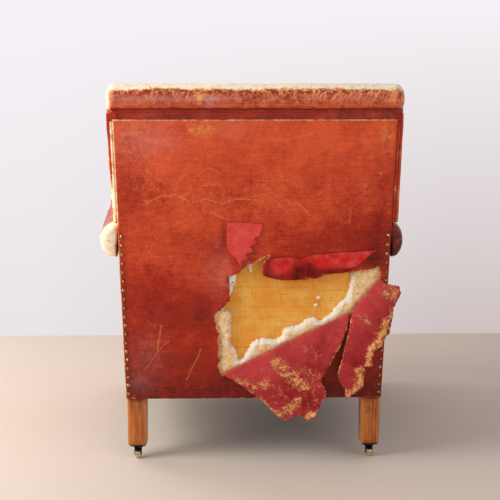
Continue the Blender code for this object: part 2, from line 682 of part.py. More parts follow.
def nail_rings(x, z):
    """Foot and shoulder of one domed nail on the outside back."""
    rings = []
    for depth, radius in ((NAIL_SUNK, NAIL_R), (-NAIL_H / 2, NAIL_SHOULDER * NAIL_R)):
        outline = []
        for k in range(NAIL_SIDES):
            angle = 2 * math.pi * k / NAIL_SIDES
            outline.append((x + radius * math.cos(angle), z + radius * math.sin(angle)))
        rings += raked_rings(outline, (depth,))
    return rings


def nail_rows():
    """Both rows of low domes, sunk a little into the hide."""
    bm = bmesh.new()
    count = int((NAIL_Z[1] - NAIL_Z[0]) / NAIL_PITCH) + 1
    for side in (1, -1):
        for i in range(count):
            z = NAIL_Z[0] + i * NAIL_PITCH
            x = side * (edge_x(z) - NAIL_INSET)
            foot, shoulder = [[bm.verts.new(point) for point in ring] for ring in nail_rings(x, z)]
            tip = bm.verts.new((x, raked_y(z) - NAIL_H, z))
            bm.faces.new(foot)
            for k in range(NAIL_SIDES):
                j = (k + 1) % NAIL_SIDES
                bm.faces.new((foot[k], foot[j], shoulder[j], shoulder[k]))
                bm.faces.new((shoulder[k], shoulder[j], tip))
    return mesh_from("back_nails", bm)


def outside_back(parent):
    """One hide: torn window, turned edges, two hanging tongues and the nail rows."""
    rings = raked_rings(trapezium(HEM_Z, PANEL_TOP_Z, 0.0), (0.0, LEATHER))
    obj = add_object("outside_back", loft_mesh("outside_back", rings), "red_leather", parent)
    window = raked_rings(HOLE, (-LEATHER, 2 * LEATHER))
    boolean(obj, "DIFFERENCE", loft_mesh("torn_window", window))
    for side in (1, -1):
        boolean(obj, "UNION", loft_mesh("turned_edge", turned_edge(side)))
    boolean(obj, "UNION", loft_mesh("turned_hem", turned_hem()))
    boolean(obj, "UNION", loft_mesh("torn_tongue", tongue_rings(TONGUE, TONGUE_FOLD)))
    boolean(obj, "UNION", loft_mesh("torn_strip", tongue_rings(STRIP, STRIP_FOLD)))
    boolean(obj, "UNION", nail_rows())


def scraps(parent):
    for name, outline in (("lining_scrap_left", SCRAP_LEFT), ("lining_scrap_right", SCRAP_RIGHT)):
        rings = raked_rings(outline, (-GAP - SCRAP_T, -GAP))
        add_object(name, loft_mesh(name, rings), "red_lining", parent)


# ---- castors --------------------------------------------------------------------------
def disc_ring(radius, sides, z):
    ring = []
    for k in range(sides):
        angle = 2 * math.pi * k / sides
        ring.append((radius * math.cos(angle), radius * math.sin(angle), z))
    return ring


def axle_ring(radius, sides, x, y=0.0, z=0.0):
    """A ring round the axle line, with a flat at the bottom."""
    reach = radius / math.cos(math.pi / sides)
    ring = []
    for k in range(sides):
        angle = 2 * math.pi * (k + 0.5) / sides - math.pi / 2
        ring.append((x, y + reach * math.cos(angle), z + reach * math.sin(angle)))
    return ring


def plate_meshes():
    """Square plate and the bore for the swivel pin."""
    plate = loft_mesh("castor_plate", [square_ring(0, 0, PLATE, PLATE, z) for z in PLATE_Z])
    bore = [disc_ring(PIN_R + PIN_ROOM, PIN_SIDES, z) for z in (CROWN_Z[0], 2 * PLATE_Z[0])]
    return plate, loft_mesh("castor_plate_bore", bore)


def fork_meshes():
    """Crown, swivel pin, two cheeks and the axle's bore, about the swivel axis."""
    crown = loft_mesh("castor_fork", [disc_ring(CROWN_R, CROWN_SIDES, z) for z in CROWN_Z])
    pin = loft_mesh("castor_pin", [disc_ring(PIN_R, PIN_SIDES, z)
                                   for z in (CROWN_Z[1] - HINGE_BITE, PLATE_Z[1])])
    top = CROWN_Z[0] + HINGE_BITE
    outline = [(CHEEK_TOP, top), (-CHEEK_TOP, top), (-TRAIL - CHEEK_EAR, WHEEL_R),
               (-TRAIL - CHEEK_EAR / 2, WHEEL_R - CHEEK_EAR),
               (-TRAIL + CHEEK_EAR / 2, WHEEL_R - CHEEK_EAR), (-TRAIL + CHEEK_EAR, WHEEL_R)]
    cheeks = []
    for side in (1, -1):
        rings = [[(side * x, y, z) for y, z in outline] for x in (CHEEK_X, CHEEK_X + CHEEK_T)]
        cheeks.append(loft_mesh("castor_cheek", rings))
    past = CHEEK_X + 2 * CHEEK_T
    bore = loft_mesh("castor_bore", [axle_ring(AXLE_R + AXLE_ROOM, AXLE_SIDES, x, -TRAIL, WHEEL_R)
                                     for x in (-past, past)])
    return crown, [pin] + cheeks, bore


def wheel_meshes():
    """Wheel with rounded edges, and the axle that turns with it."""
    rings = [axle_ring(WHEEL_R * size, WHEEL_SIDES, across * WHEEL_W / 2)
             for across, size in WHEEL_ROUND]
    reach = CHEEK_X + CHEEK_T - GAP
    axle = [axle_ring(AXLE_R, AXLE_SIDES, x) for x in (-reach, reach)]
    return loft_mesh("castor_wheel", rings), loft_mesh("castor_axle", axle)


def castors(parent, feet):
    """Plate, fork and wheel under each leg; the fork stands on its swivel axis."""
    plate_mesh, plate_bore = plate_meshes()
    crown_mesh, fork_parts, fork_bore = fork_meshes()
    wheel_mesh, axle_mesh = wheel_meshes()
    for word, (x, y) in feet.items():
        plate = add_object("castor_plate_" + word, plate_mesh, "brass", parent, (x, y, 0))
        boolean(plate, "DIFFERENCE", plate_bore).location = (x, y, 0)
        swivel = bpy.data.objects.new("swivel_axis_" + word, None)
        bpy.context.collection.objects.link(swivel)
        swivel.parent = parent
        swivel.location = (x, y, 0)
        fork = add_object("castor_fork_" + word, crown_mesh, "black_iron", swivel)
        for mesh in fork_parts:
            boolean(fork, "UNION", mesh)
        boolean(fork, "DIFFERENCE", fork_bore)
        hub = (0, -TRAIL, WHEEL_R)
        wheel = add_object("castor_wheel_" + word, wheel_mesh, "brass", swivel, hub)
        boolean(wheel, "UNION", axle_mesh).location = hub


# ---- the whole chair ------------------------------------------------------------------
def build():
    for obj in list(bpy.data.objects):
        bpy.data.objects.remove(obj, do_unlink=True)
    chair = bpy.data.objects.new("chair", None)
    bpy.context.collection.objects.link(chair)

    feet = {}
    for side, word in ((-1, "left"), (1, "right")):
        feet["rear_" + word] = rear_leg(chair, side, word)
        feet["front_" + word] = front_leg(chair, side, word)
        side_frame(chair, side, word)
        arm(chair, side, word)
        outside_arm(chair, side, word)
        arm_facing(chair, side, word)
    cross_rails(chair)

    web_top = webbing(chair)
    seat_springs(chair, web_top + GAP)
    canvas_top = seat_canvas(chair)
    seat_stuffing(chair, canvas_top)
    seat_cushion(chair)
    front_border(chair)
    dust_cover(chair, web_top - WEB_T - GAP, feet)

    inside_back(chair)
    top_scroll(chair)
    back_sheets(chair)
    outside_back(chair)
    scraps(chair)
    castors(chair, feet)


build()
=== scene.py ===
import math
from functools import partial

import bmesh
import bpy
import numpy as np
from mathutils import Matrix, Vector, geometry, noise
from mathutils.bvhtree import BVHTree


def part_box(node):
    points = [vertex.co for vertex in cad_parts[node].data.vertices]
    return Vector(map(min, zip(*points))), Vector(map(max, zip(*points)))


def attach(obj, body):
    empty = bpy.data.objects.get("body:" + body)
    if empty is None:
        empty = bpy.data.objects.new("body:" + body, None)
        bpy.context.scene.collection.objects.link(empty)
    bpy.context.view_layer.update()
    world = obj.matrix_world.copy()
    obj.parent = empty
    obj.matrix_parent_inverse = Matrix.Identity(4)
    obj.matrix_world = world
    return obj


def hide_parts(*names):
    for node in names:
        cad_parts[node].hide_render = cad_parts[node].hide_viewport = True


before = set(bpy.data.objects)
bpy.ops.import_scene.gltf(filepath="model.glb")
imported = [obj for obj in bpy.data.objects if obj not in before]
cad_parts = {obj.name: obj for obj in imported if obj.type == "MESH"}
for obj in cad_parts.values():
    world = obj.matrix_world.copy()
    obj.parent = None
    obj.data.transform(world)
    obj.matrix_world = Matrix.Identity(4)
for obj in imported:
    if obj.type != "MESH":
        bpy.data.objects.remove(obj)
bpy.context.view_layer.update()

scene = bpy.context.scene
print("frame loaded:", len(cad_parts), "nodes")

# metres; the chair faces +Y and these are the slopes and layers of its frame
chair = {
    "rake": 0.158,  # the back leans this far to the rear for each metre up
    "backY": -0.282,  # outer face of the outside back at the hem
    "hemZ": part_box("front_border")[0].z,
    "panelTop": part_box("outside_back")[1].z,
    "edgeX": 0.291,  # half width of the outside back at the hem
    "edgeFlare": 0.0188,
    "frontX": 0.342,  # half width of the body at the front
    "frontY": 0.385,
    "rollZ": 0.52,  # centre of the arm's roll
    "rollR": 0.043,
    "armIn": 0.05,
    "wadding": 0.0028,  # depth of the wadding's front behind the hide's face
    "waddingRim": 0.0122,  # and of its torn rim
    "waddingBack": 0.0128,
    "burlap": 0.0131,
    "liningUp": 0.0138,  # burlap and wadding start this far above the hem
    "liningTop": 0.772,
    "liningIn": 0.0223,  # and end this far inside the back's edges
    "leg": 0.045,  # a leg's width at the seat frame
    "legY": -0.272,  # rear face of the rear legs
    "gap": 0.0003,
    "hide": 0.0021,  # how thick the leather is, and how tightly it folds
    "foldRadius": 0.0025,
}
sides = ((-1, "left"), (1, "right"))


def rakedY(z):
    return chair["backY"] - chair["rake"] * (z - chair["hemZ"])


def edgeX(z):
    return chair["edgeX"] + chair["edgeFlare"] * (z - chair["hemZ"])


def sideX(y, z):
    share = (y - rakedY(z)) / (chair["frontY"] - rakedY(z))
    return edgeX(z) + share * (chair["frontX"] - edgeX(z))


def rollX(y):
    return sideX(y, chair["rollZ"])


# small helpers for meshes
def newObject(name, data):
    made = bpy.data.objects.new(name, data)
    scene.collection.objects.link(made)
    return made


def newPiece(name, points, faces, edges=(), materials=()):
    mesh = bpy.data.meshes.new(name)
    points, faces = [tuple(map(float, p)) for p in points], [tuple(map(int, f)) for f in faces]
    mesh.from_pydata(points, list(edges), faces)
    mesh.update()
    mesh.shade_smooth()
    for material in materials:
        mesh.materials.append(material)
    return newObject(name, mesh)


def faceOut(piece, merge=0.0):
    work = bmesh.new()
    work.from_mesh(piece.data)
    if merge:
        bmesh.ops.remove_doubles(work, verts=work.verts, dist=merge)
    bmesh.ops.recalc_face_normals(work, faces=work.faces)
    work.to_mesh(piece.data)
    work.free()
    return piece


def rowsOf(mesh, key):
    rows = np.zeros(len(mesh.vertices) * 3)
    mesh.vertices.foreach_get(key, rows)
    return rows.reshape(-1, 3)


def pointsOf(piece):
    return rowsOf(piece.data, "co")


def normalsOf(piece):
    return rowsOf(piece.data, "normal")


def setPoints(piece, points):
    piece.data.vertices.foreach_set("co", np.asarray(points, dtype=float).ravel())
    piece.data.update()


def paint(piece, **layers):
    count = len(piece.data.vertices)  # one number a vertex, read by the materials
    for name, values in layers.items():
        layer = piece.data.attributes.new(name, "FLOAT", "POINT")
        values = np.atleast_1d(np.asarray(values, dtype=float))
        values = np.tile(values, count // len(values))  # a sheet's two skins share one row of values
        layer.data.foreach_set("value", np.clip(values, -1, 1).astype(np.float32))


def mm(table):  # outlines are written in millimetres
    return np.array(table, dtype=float) / 1000


def places(x, y, z):
    return np.column_stack(np.broadcast_arrays(x, y, z)).astype(float)


def rough(points, size, seed=0, octaves=3):
    shift = Vector((seed * 7.31, seed * 3.17, seed * 5.73))  # smooth random values; size is a lump's width
    return np.array([noise.fractal(Vector(p) / size + shift, 0.9, 2.0, octaves) for p in points])


def ease(values, low, high):
    share = np.clip((np.asarray(values, dtype=float) - low) / (high - low), 0, 1)
    return share * share * (3 - 2 * share)


def near(distance, width):
    return np.exp(-(distance / width) ** 2)


def distanceToLine(points, line, closed=False):
    line = np.asarray(line, dtype=float)
    starts, ends = (line, np.roll(line, -1, 0)) if closed else (line[:-1], line[1:])
    best = np.full(len(points), 1e9)
    for start, end in zip(starts, ends):
        run = end - start
        share = np.clip(((points - start) @ run) / max(run @ run, 1e-12), 0, 1)
        best = np.minimum(best, np.linalg.norm(points - start - share[:, None] * run, axis=1))
    return best


def inside(points, outline):
    outline = np.asarray(outline, dtype=float)
    found = np.zeros(len(points), dtype=bool)
    x, z = np.transpose(points)
    for (x0, z0), (x1, z1) in zip(outline, np.roll(outline, -1, 0)):
        if z0 != z1:
            found ^= ((z0 > z) != (z1 > z)) & (x < (x1 - x0) * (z - z0) / (z1 - z0) + x0)
    return found


def resample(path, step, closed=False):
    path = np.asarray(path, dtype=float)
    if closed:
        path = np.vstack([path, path[:1]])
    lengths = np.concatenate([[0], np.cumsum(np.linalg.norm(np.diff(path, axis=0), axis=1))])
    along = np.linspace(0, lengths[-1], max(4, int(lengths[-1] / step)), endpoint=not closed)
    return np.stack([np.interp(along, lengths, path[:, i]) for i in range(path.shape[1])], axis=1)


def unit(rows):
    return rows / np.maximum(np.linalg.norm(rows, axis=1), 1e-12)[:, None]


def directions(path, closed):
    run = np.roll(path, -1, 0) - np.roll(path, 1, 0)
    if not closed:
        run[0], run[-1] = path[1] - path[0], path[-1] - path[-2]
    return unit(run)


def tornLine(outline, step, wander, seed, tooth=0.0, closed=True):
    points = resample(outline, step, closed)  # then frayed by up to wander
    count = len(points)
    run = directions(points, closed)
    spots = places(*points.T, seed * 1.7)
    shift = wander * (0.7 * rough(spots, 0.012, seed) + 0.6 * rough(spots, 0.0035, seed + 5))
    shift += tooth * np.random.default_rng(seed).uniform(-1, 1, count)
    if not closed:
        shift *= np.minimum(1, np.minimum(np.arange(count), np.arange(count)[::-1]) / 3)
    return points + np.stack([run[:, 1], -run[:, 0]], axis=1) * shift[:, None]


def within(points, borders):  # inside the first border, outside the holes
    keep = inside(points, borders[0])
    for hole in borders[1:]:
        keep &= ~inside(points, hole)
    return keep


def clearOf(points, borders, room):
    return np.min([distanceToLine(points, border, closed=True) for border in borders], axis=0) > room


def flatSheet(outline, holes=(), spacing=0.005, extra=()):
    borders = [np.asarray(border, dtype=float) for border in (outline, *holes)]
    low, high = borders[0].min(0), borders[0].max(0)  # small triangles inside an (x, z) outline
    grid = []
    for i, z in enumerate(np.arange(low[1], high[1], spacing * 0.866)):
        xs = np.arange(low[0] + (i % 2) * spacing / 2, high[0], spacing)
        grid.append(np.column_stack([xs, np.full(len(xs), z)]))
    grid = np.vstack(grid)
    grid = grid[within(grid, borders)]
    grid = grid[clearOf(grid, borders, 0.55 * spacing)]
    if len(extra):
        cell = 0.002  # extra points push the grid's own out of their cells
        extra = extra[within(extra, borders)]
        extra = extra[clearOf(extra, borders, cell)]
        taken = {(int(x / cell), int(z / cell)) for x, z in extra}
        around = ((0, 0), (1, 0), (-1, 0), (0, 1), (0, -1))
        free = [not any((int(x / cell) + i, int(z / cell) + j) in taken for i, j in around) for x, z in grid]
        grid = np.vstack([grid[free], extra])
    points, edges = [], []
    for border in borders:
        first = len(points)
        points += [Vector(p) for p in border]
        edges += [(first + i, first + (i + 1) % len(border)) for i in range(len(border))]
    points += [Vector(p) for p in grid]
    flat, _, faces, *_ = geometry.delaunay_2d_cdt(points, edges, [], 0, 1e-6)
    flat = np.array([tuple(p) for p in flat])
    faces = np.array([f for f in faces if len(f) == 3])
    faces = faces[within(flat[faces].mean(axis=1), borders)]
    used = np.unique(faces)
    renumber = np.full(len(flat), -1)
    renumber[used] = np.arange(len(used))
    return flat[used], renumber[faces]


def cutSheet(outline, spacing, y=0):  # with each point's place and its distance to the outline
    flat, faces = flatSheet(outline, spacing=spacing)
    return flat, faces, places(flat[:, 0], y, flat[:, 1]), distanceToLine(flat, outline, closed=True)


def gridFaces(rows, columns):
    a = np.add.outer(np.arange(rows - 1) * columns, np.arange(columns - 1)).ravel()
    pairs = np.stack([a, a + 1, a + columns + 1, a, a + columns + 1, a + columns], axis=1)
    return pairs.reshape(-1, 3)


def gridOf(levels, across):  # a sheet's places row by row, and its faces
    z, x = np.meshgrid(levels, across, indexing="ij")
    return z.ravel(), x.ravel(), gridFaces(*z.shape)


def sheetNormals(points, faces):
    flat = np.cross(points[faces[:, 1]] - points[faces[:, 0]], points[faces[:, 2]] - points[faces[:, 0]])
    normals = np.zeros_like(points)
    for i in range(3):
        np.add.at(normals, faces[:, i], flat)
    return unit(normals)


def closedSheet(name, front, back, faces, materials):
    count = len(front)  # two skins and a rim between their borders
    tally = {}
    for a, b, c in faces:
        for pair in ((a, b), (b, c), (c, a)):
            key = (min(pair), max(pair))
            tally[key] = None if key in tally else pair
    rim = [(*pair, pair[1] + count, pair[0] + count) for pair in tally.values() if pair]
    skin = [tuple(f) for f in faces]
    under = [(c + count, b + count, a + count) for a, b, c in skin]
    piece = newPiece(name, np.vstack([front, back]), skin + under + rim, materials=materials)
    order = [0] * len(skin) + [min(1, len(materials) - 1)] * len(under) + [len(materials) - 1] * len(rim)
    piece.data.polygons.foreach_set("material_index", order)
    return faceOut(piece)


def thickSheet(name, front, faces, thickness, outward, materials):
    normals = sheetNormals(front, faces)  # its underside follows the face at this thickness
    if (normals @ np.array(outward)).mean() < 0:
        normals, faces = -normals, faces[:, ::-1]
    return closedSheet(name, front, front - normals * np.reshape(thickness, (-1, 1)), faces, materials)


def rakedSheet(name, flat, faces, depths, material):
    x, z = flat.T  # both skins lie along the back's slope
    front, back = [places(x, rakedY(z) + depth, z) for depth in depths]
    return closedSheet(name, front, back, faces, (material,))


def skinRings(name, rings, caps=True, material=None):
    rings = np.asarray(rings, dtype=float)
    count, around = rings.shape[:2]
    ring = np.arange(around)
    after = np.roll(ring, -1)
    faces = [face for i in range(count - 1)
             for face in np.stack([ring, after, after + around, ring + around], axis=1) + i * around]
    points = rings.reshape(-1, 3)
    if caps:
        points = np.vstack([points, rings[0].mean(0), rings[-1].mean(0)])
        first, last = count * around, (count - 1) * around
        for j, k in zip(ring, after):
            faces += [(first, k, j), (first + 1, last + j, last + k)]
    return faceOut(newPiece(name, points, faces, materials=[material] if material else ()))


def tube(name, path, radius, sides=12, closed=False, material=None):
    path = np.asarray(path, dtype=float)
    run = directions(path, closed)
    up = np.cross(run[0], (0.123, 0.456, 0.882))  # any direction that the path doesn't take
    up /= np.linalg.norm(up)
    turn = 2 * np.pi * np.arange(sides) / sides
    rings = []
    for point, tangent in zip(path, run):
        up = up - tangent * (up @ tangent)
        up /= np.linalg.norm(up)
        other = np.cross(tangent, up)
        rings.append(point + radius * (np.cos(turn)[:, None] * up + np.sin(turn)[:, None] * other))
    if not closed:
        return skinRings(name, rings, material=material)
    shift = int(np.argmin([np.linalg.norm(np.roll(rings[0], -s, 0) - rings[-1]) for s in range(sides)]))
    rings.append(np.roll(rings[0], -shift, 0))
    return faceOut(skinRings(name, rings, False, material), merge=0.00005)


def smoothPath(path, rounds=2, closed=False):
    path = np.asarray(path, dtype=float)
    for _ in range(rounds):
        around = (np.roll(path, 1, 0) + np.roll(path, -1, 0)) / 2
        moved = (path + around) / 2
        if not closed:
            moved[0], moved[-1] = path[0], path[-1]
        path = moved
    return path


def roundedRing(cx, cy, wide, deep, z, corner, arc=5, flat=5):
    arcs = []
    for quarter, (sx, sy) in enumerate(((1, 1), (-1, 1), (-1, -1), (1, -1))):
        turn = math.pi / 2 * (quarter + np.arange(arc) / (arc - 1))
        px, py = cx + sx * (wide / 2 - corner), cy + sy * (deep / 2 - corner)
        arcs.append(places(px + corner * np.cos(turn), py + corner * np.sin(turn), z))
    share = np.arange(1, flat + 1)[:, None] / (flat + 1)
    return np.vstack([part for this, after in zip(arcs, arcs[1:] + arcs[:1])
                      for part in (this, this[-1] + (after[0] - this[-1]) * share)])


def join(name, pieces):
    work = bmesh.new()  # keeps each piece's materials in order
    materials = []
    for piece in pieces:
        start = len(work.faces)
        work.from_mesh(piece.data)
        work.faces.ensure_lookup_table()
        for face in work.faces[start:]:
            material = piece.data.materials[face.material_index] if piece.data.materials else None
            if material not in materials:
                materials.append(material)
            face.material_index = materials.index(material)
        bpy.data.objects.remove(piece)
    mesh = bpy.data.meshes.new(name)
    work.to_mesh(mesh)
    work.free()
    for material in materials:
        mesh.materials.append(material)
    return newObject(name, mesh)


def bake(piece):
    graph = bpy.context.evaluated_depsgraph_get()  # modifiers become plain mesh
    mesh = bpy.data.meshes.new_from_object(piece.evaluated_get(graph), depsgraph=graph)
    old = piece.data
    piece.modifiers.clear()
    piece.data = mesh
    mesh.name = piece.name
    bpy.data.meshes.remove(old)
    return piece


def copyNode(node, name):
    piece = newObject(name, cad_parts[node].data.copy())
    piece.data.materials.clear()
    layer = piece.data.attributes.get("custom_normal")
    if layer:
        piece.data.attributes.remove(layer)
    return faceOut(piece, merge=0.00002)


def fit(piece, nodes=(), materials=(), body="chair"):
    for material in materials:
        piece.data.materials.append(material)
    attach(piece, body)
    if nodes:
        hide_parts(*nodes)
    return piece


# each kind of node: its inputs in order, the output that is read, and its settings
texture = ("ShaderNodeTexNoise", ("Vector", "Scale", "Detail", "Roughness", "Distortion"), 0, {})
cells = ("ShaderNodeTexVoronoi", ("Vector", "Scale", "Randomness"), "Distance", {})
turned = ("ShaderNodeMapping", ("Vector", "Scale", "Rotation", "Location"), 0, {})
span = ("ShaderNodeMapRange", (0, 1, 2, 3, 4), 0, {})
tint = ("ShaderNodeMix", (0, 6, 7), 2, {"data_type": "RGBA"})
fused, times, plus, divided, greater, sine, absolute = [
    ("ShaderNodeMath", (0, 1, 2), 0, {"operation": name})
    for name in ("MULTIPLY_ADD", "MULTIPLY", "ADD", "DIVIDE", "MAXIMUM", "SINE", "ABSOLUTE")]


def hexColour(text):
    parts = [int(text[i:i + 2], 16) / 255 for i in (1, 3, 5)]
    return (*[p / 12.92 if p <= 0.04045 else ((p + 0.055) / 1.055) ** 2.4 for p in parts], 1.0)


def addNode(tree, kind, *values, out=0, **settings):
    if isinstance(kind, tuple):
        kind, keys, out, usual = kind
        values, settings = [dict(zip(keys, values))], {**usual, **settings}
    node = tree.nodes.new(kind)  # hands back the output that the next node reads
    for key, value in settings.items():
        setattr(node, key, value)
    for key, value in dict(*values).items():
        if isinstance(value, bpy.types.NodeSocket):
            tree.links.new(value, node.inputs[key])
        elif value is not None:
            node.inputs[key].default_value = hexColour(value) if isinstance(value, str) else value
    return node if out is None else node.outputs[out]


def newMaterial(name, *painted, **constants):
    material = bpy.data.materials.new(name)
    material.use_nodes = True
    for key, value in constants.items():
        material.node_tree.nodes["Principled BSDF"].inputs[key.replace("_", " ")].default_value = value
    add = partial(addNode, material.node_tree)
    layers = [add("ShaderNodeAttribute", out="Fac", attribute_name=key) for key in painted]
    return material, add, add("ShaderNodeTexCoord", out="Object"), *layers


def finish(material, colour, relief, depth, roughness=None, strength=0.8):
    tree = material.node_tree
    bump = addNode(tree, "ShaderNodeBump", {"Height": relief, "Distance": depth, "Strength": strength})
    for socket, name in ((colour, "Base Color"), (bump, "Normal"), (roughness, "Roughness")):
        if socket is not None:
            tree.links.new(socket, tree.nodes["Principled BSDF"].inputs[name])
    return material


# Vegetable-tanned cowhide, dyed red and waxed: mottled, with a fine pebbled grain, rubbed to bare tan
# where hands and time took the dye, paler along its cracks, dusty pink where the wax has bloomed.
# The same layers also carry painted light: the palest colour serves as a painted highlight, the pink
# as a painted sheen and a mauve painted shade, and the dark brown as painted shade.
hideLook = {
    "deep": "#570b07", "mid": "#a92810", "light": "#df5930", "thin": "#d97a40", "bare": "#e2a562",
    "bleachedAndHighlight": "#fbeed0", "crack": "#e88e54", "grime": "#3c150f", "bloom": "#cf9c96",
    "pebble": 0.0026, "patch": 0.09,
}


def wornHide(name, look, gloss):
    material, add, place, worn, tone, grime, bloom, crease, crackle, scratch = newMaterial(
        name, "worn", "tone", "grime", "bloom", "crease", "crackle", "scratch", IOR=1.46,
        Specular_IOR_Level=gloss)
    broad = add(texture, place, 1 / look["patch"], 3)
    fine = add(texture, place, 1 / 0.015, 6, 0.68)
    specks = add(texture, place, 1 / 0.0045, 3, 0.7)
    slant = add(turned, place, (0.12, 1, 1), (0, 0.5, 0))
    streaks = add(texture, slant, 1 / 0.005, 4, 0.75)
    mix = add(fused, tone, 0.5, -0.46)  # each grain below adds about nothing on average
    for grain, amount in ((broad, 0.46), (fine, 0.58), (specks, 0.44), (streaks, 0.44)):
        mix = add(fused, grain, amount, mix)
    stops = add("ShaderNodeValToRGB", {"Fac": mix}, out=None)
    for number, (at, key) in enumerate(((0.05, "deep"), (0.95, "light"), (0.5, "mid"))):
        stop = stops.color_ramp.elements[number] if number < 2 else stops.color_ramp.elements.new(at)
        stop.position, stop.color = at, hexColour(look[key])
    milky = add(times, bloom, add(span, fine, 0.3, 0.65, 0.3, 1))
    colour = add(tint, milky, stops.outputs[0], look["bloom"])
    dirtAndShade = add(times, grime, add(span, fine, 0.3, 0.65, 0.3, 1))
    colour = add(tint, dirtAndShade, colour, look["grime"])
    warped = add(turned, place, (1, 0.5, 0.42), (0, 0.35, 0))
    net = add(cells, warped, 1 / 0.012, feature="DISTANCE_TO_EDGE")
    shown = add(fused, fine, 1.4, crackle)
    cracks = add(times, add(span, net, 0, 0.05, 0.6, 0), add(span, shown, 1.05, 1.5))
    lines = add(times, crease, add(span, specks, 0.38, 0.6, 0.2, 1))
    pale = add(greater, cracks, lines)
    for lean, seed in ((0.62, 0.0), (0.3, 0.4)):
        drawn = add(turned, place, (1, 1, 15), (0, lean, 0), (seed, 0, 0), vector_type="TEXTURE")
        hairs = add(texture, drawn, 1 / 0.0045, 2, 0.5)
        hairs = add(plus, hairs, add(times, scratch, 0.17))
        hairs = add(times, add(span, hairs, 0.7, 0.78), scratch)
        pale = add(greater, pale, hairs)
    colour = add(tint, pale, colour, look["crack"])
    paleness = add(fused, fine, 1.0, worn)
    paleness = add(fused, specks, 0.8, paleness)
    paleness = add(fused, streaks, 0.3, paleness)
    for low, high, key in ((1.28, 1.55, "thin"), (1.48, 1.75, "bare"), (1.8, 2.05, "bleachedAndHighlight")):
        colour = add(tint, add(span, paleness, low, high), colour, look[key])
    dull = add(fused, fine, 0.35, 0.2)
    dull = add(fused, add(span, paleness, 1.4, 1.8), 0.32, dull, use_clamp=True)
    pebbles = add(cells, place, 1 / look["pebble"])
    relief = add(fused, pebbles, -0.45, fine)
    relief = add(fused, streaks, 0.5, relief)
    relief = add(fused, pale, -0.9, relief)
    return finish(material, colour, relief, 0.0009, dull)


# The flesh side of the same hide: dyed through, dull and fibrous, its red flaking off the raw orange.
def fleshSide():
    material, add, place, worn, tone = newMaterial(
        "red_cowhide_flesh_side", "worn", "tone", IOR=1.45, Specular_IOR_Level=0.2)
    broad = add(texture, place, 1 / 0.06, 3)
    fine = add(texture, place, 1 / 0.013, 6, 0.72)
    specks = add(texture, place, 1 / 0.004, 4, 0.75)
    shade = add(fused, fine, 0.8, add(fused, tone, 0.5, -0.4))
    shade = add(fused, broad, 0.9, shade)
    base = add(tint, add(span, shade, 0.1, 0.9), "#8a1218", "#cd4a48")
    flaky = add(fused, fine, 1.7, worn)
    flaky = add(fused, specks, 1.2, flaky)
    flake = add(span, flaky, 1.78, 2.12)
    tan = add(tint, add(span, specks, 0.35, 0.62), "#d9743a", "#f6bd78")
    colour = add(tint, flake, base, tan)
    relief = add(fused, specks, 0.9, flake)
    return finish(material, colour, relief, 0.0012, add(span, fine, 0.2, 0.8, 0.6, 0.9))


# Plain stuffs: one noise runs from the first colour to the second, and gives the relief.
def grained(name, noiseGiven, ends, colours, depth, dull=None, **constants):
    material, add, place = newMaterial(name, **constants)
    grain = add(texture, place, *noiseGiven)
    roughness = add(span, grain, 0.3, 0.7, dull, dull + 0.25) if dull else None
    return finish(material, add(tint, add(span, grain, *ends), *colours), grain, depth, roughness)


# Plain weave: two sets of threads that pass over each other, set out along two of the object's axes.
def plainWeave(add, place, axes, pitch, sway=0.0):
    parts = add("ShaderNodeSeparateXYZ", {"Vector": place}, out=None)
    waves = []
    for axis in axes:
        along = add(times, parts.outputs[axis], math.pi / pitch)
        if sway:
            wander = add(texture, place, 1 / 0.03, 2)
            along = add(fused, wander, sway, along)
        waves.append(add(absolute, add(sine, along)))
    return waves


# Red cotton patch cloth: plain weave, chalky; its threads lie 0.8 mm apart and are drawn at 3 mm to show.
def patchCloth():
    material, add, place, tone, grime = newMaterial(
        "red_cotton_woven", "tone", "grime", IOR=1.5, Roughness=0.9, Specular_IOR_Level=0.2)
    across, down = plainWeave(add, place, "XZ", 0.003)
    weave = add(times, across, down)
    fade = add(texture, place, 1 / 0.018, 5, 0.65)
    colour = add(tint, tone, "#e0241f", "#ef514a")
    colour = add(tint, add(span, fade, 0.4, 0.75, 0, 0.6), colour, "#f4776c")
    colour = add(tint, add(span, weave, 0, 0.5, 0.38, 0), colour, "#8c1210")
    dirtAndShade = add(times, grime, add(span, fade, 0.3, 0.6, 0.6, 1))
    colour = add(tint, dirtAndShade, colour, "#6f0f0c")
    return finish(material, colour, add(fused, fade, 0.8, weave), 0.0006)


# Jute burlap: loose plain weave of uneven golden yarns, darker gaps; drawn 3 mm apart, 2 in truth.
burlapLook = {"pitch": 0.0031, "yarn": "#ffc563", "shade": "#f7a540", "slub": "#d98c30", "hole": "#a2641a"}


def wovenJute(look):
    material, add, place = newMaterial("jute_burlap_woven", IOR=1.5, Roughness=0.95, Specular_IOR_Level=0.15)
    warp, weft = plainWeave(add, place, "XZ", look["pitch"], sway=1.2)
    thick = []
    for scale in ((1, 1, 0.05), (0.05, 1, 1)):
        thick.append(add(texture, add(turned, place, scale), 1 / 0.004, 2, 0.6))
    warp, weft = [add(times, waves, add(span, grain, 0.3, 0.7, 0.6, 1.1))
                  for waves, grain in zip((warp, weft), thick)]
    yarns = add(greater, warp, weft)
    age = add(texture, place, 1 / 0.05, 4)
    colour = add(tint, add(span, age, 0.35, 0.65), look["shade"], look["yarn"])
    for grain in thick:
        colour = add(tint, add(span, grain, 0.5, 0.66, 0, 0.4), colour, look["slub"])
    gaps = add(span, yarns, 0.15, 0.62, 0.55, 0)
    colour = add(tint, gaps, colour, look["hole"])
    return finish(material, colour, yarns, 0.0008, strength=0.6)


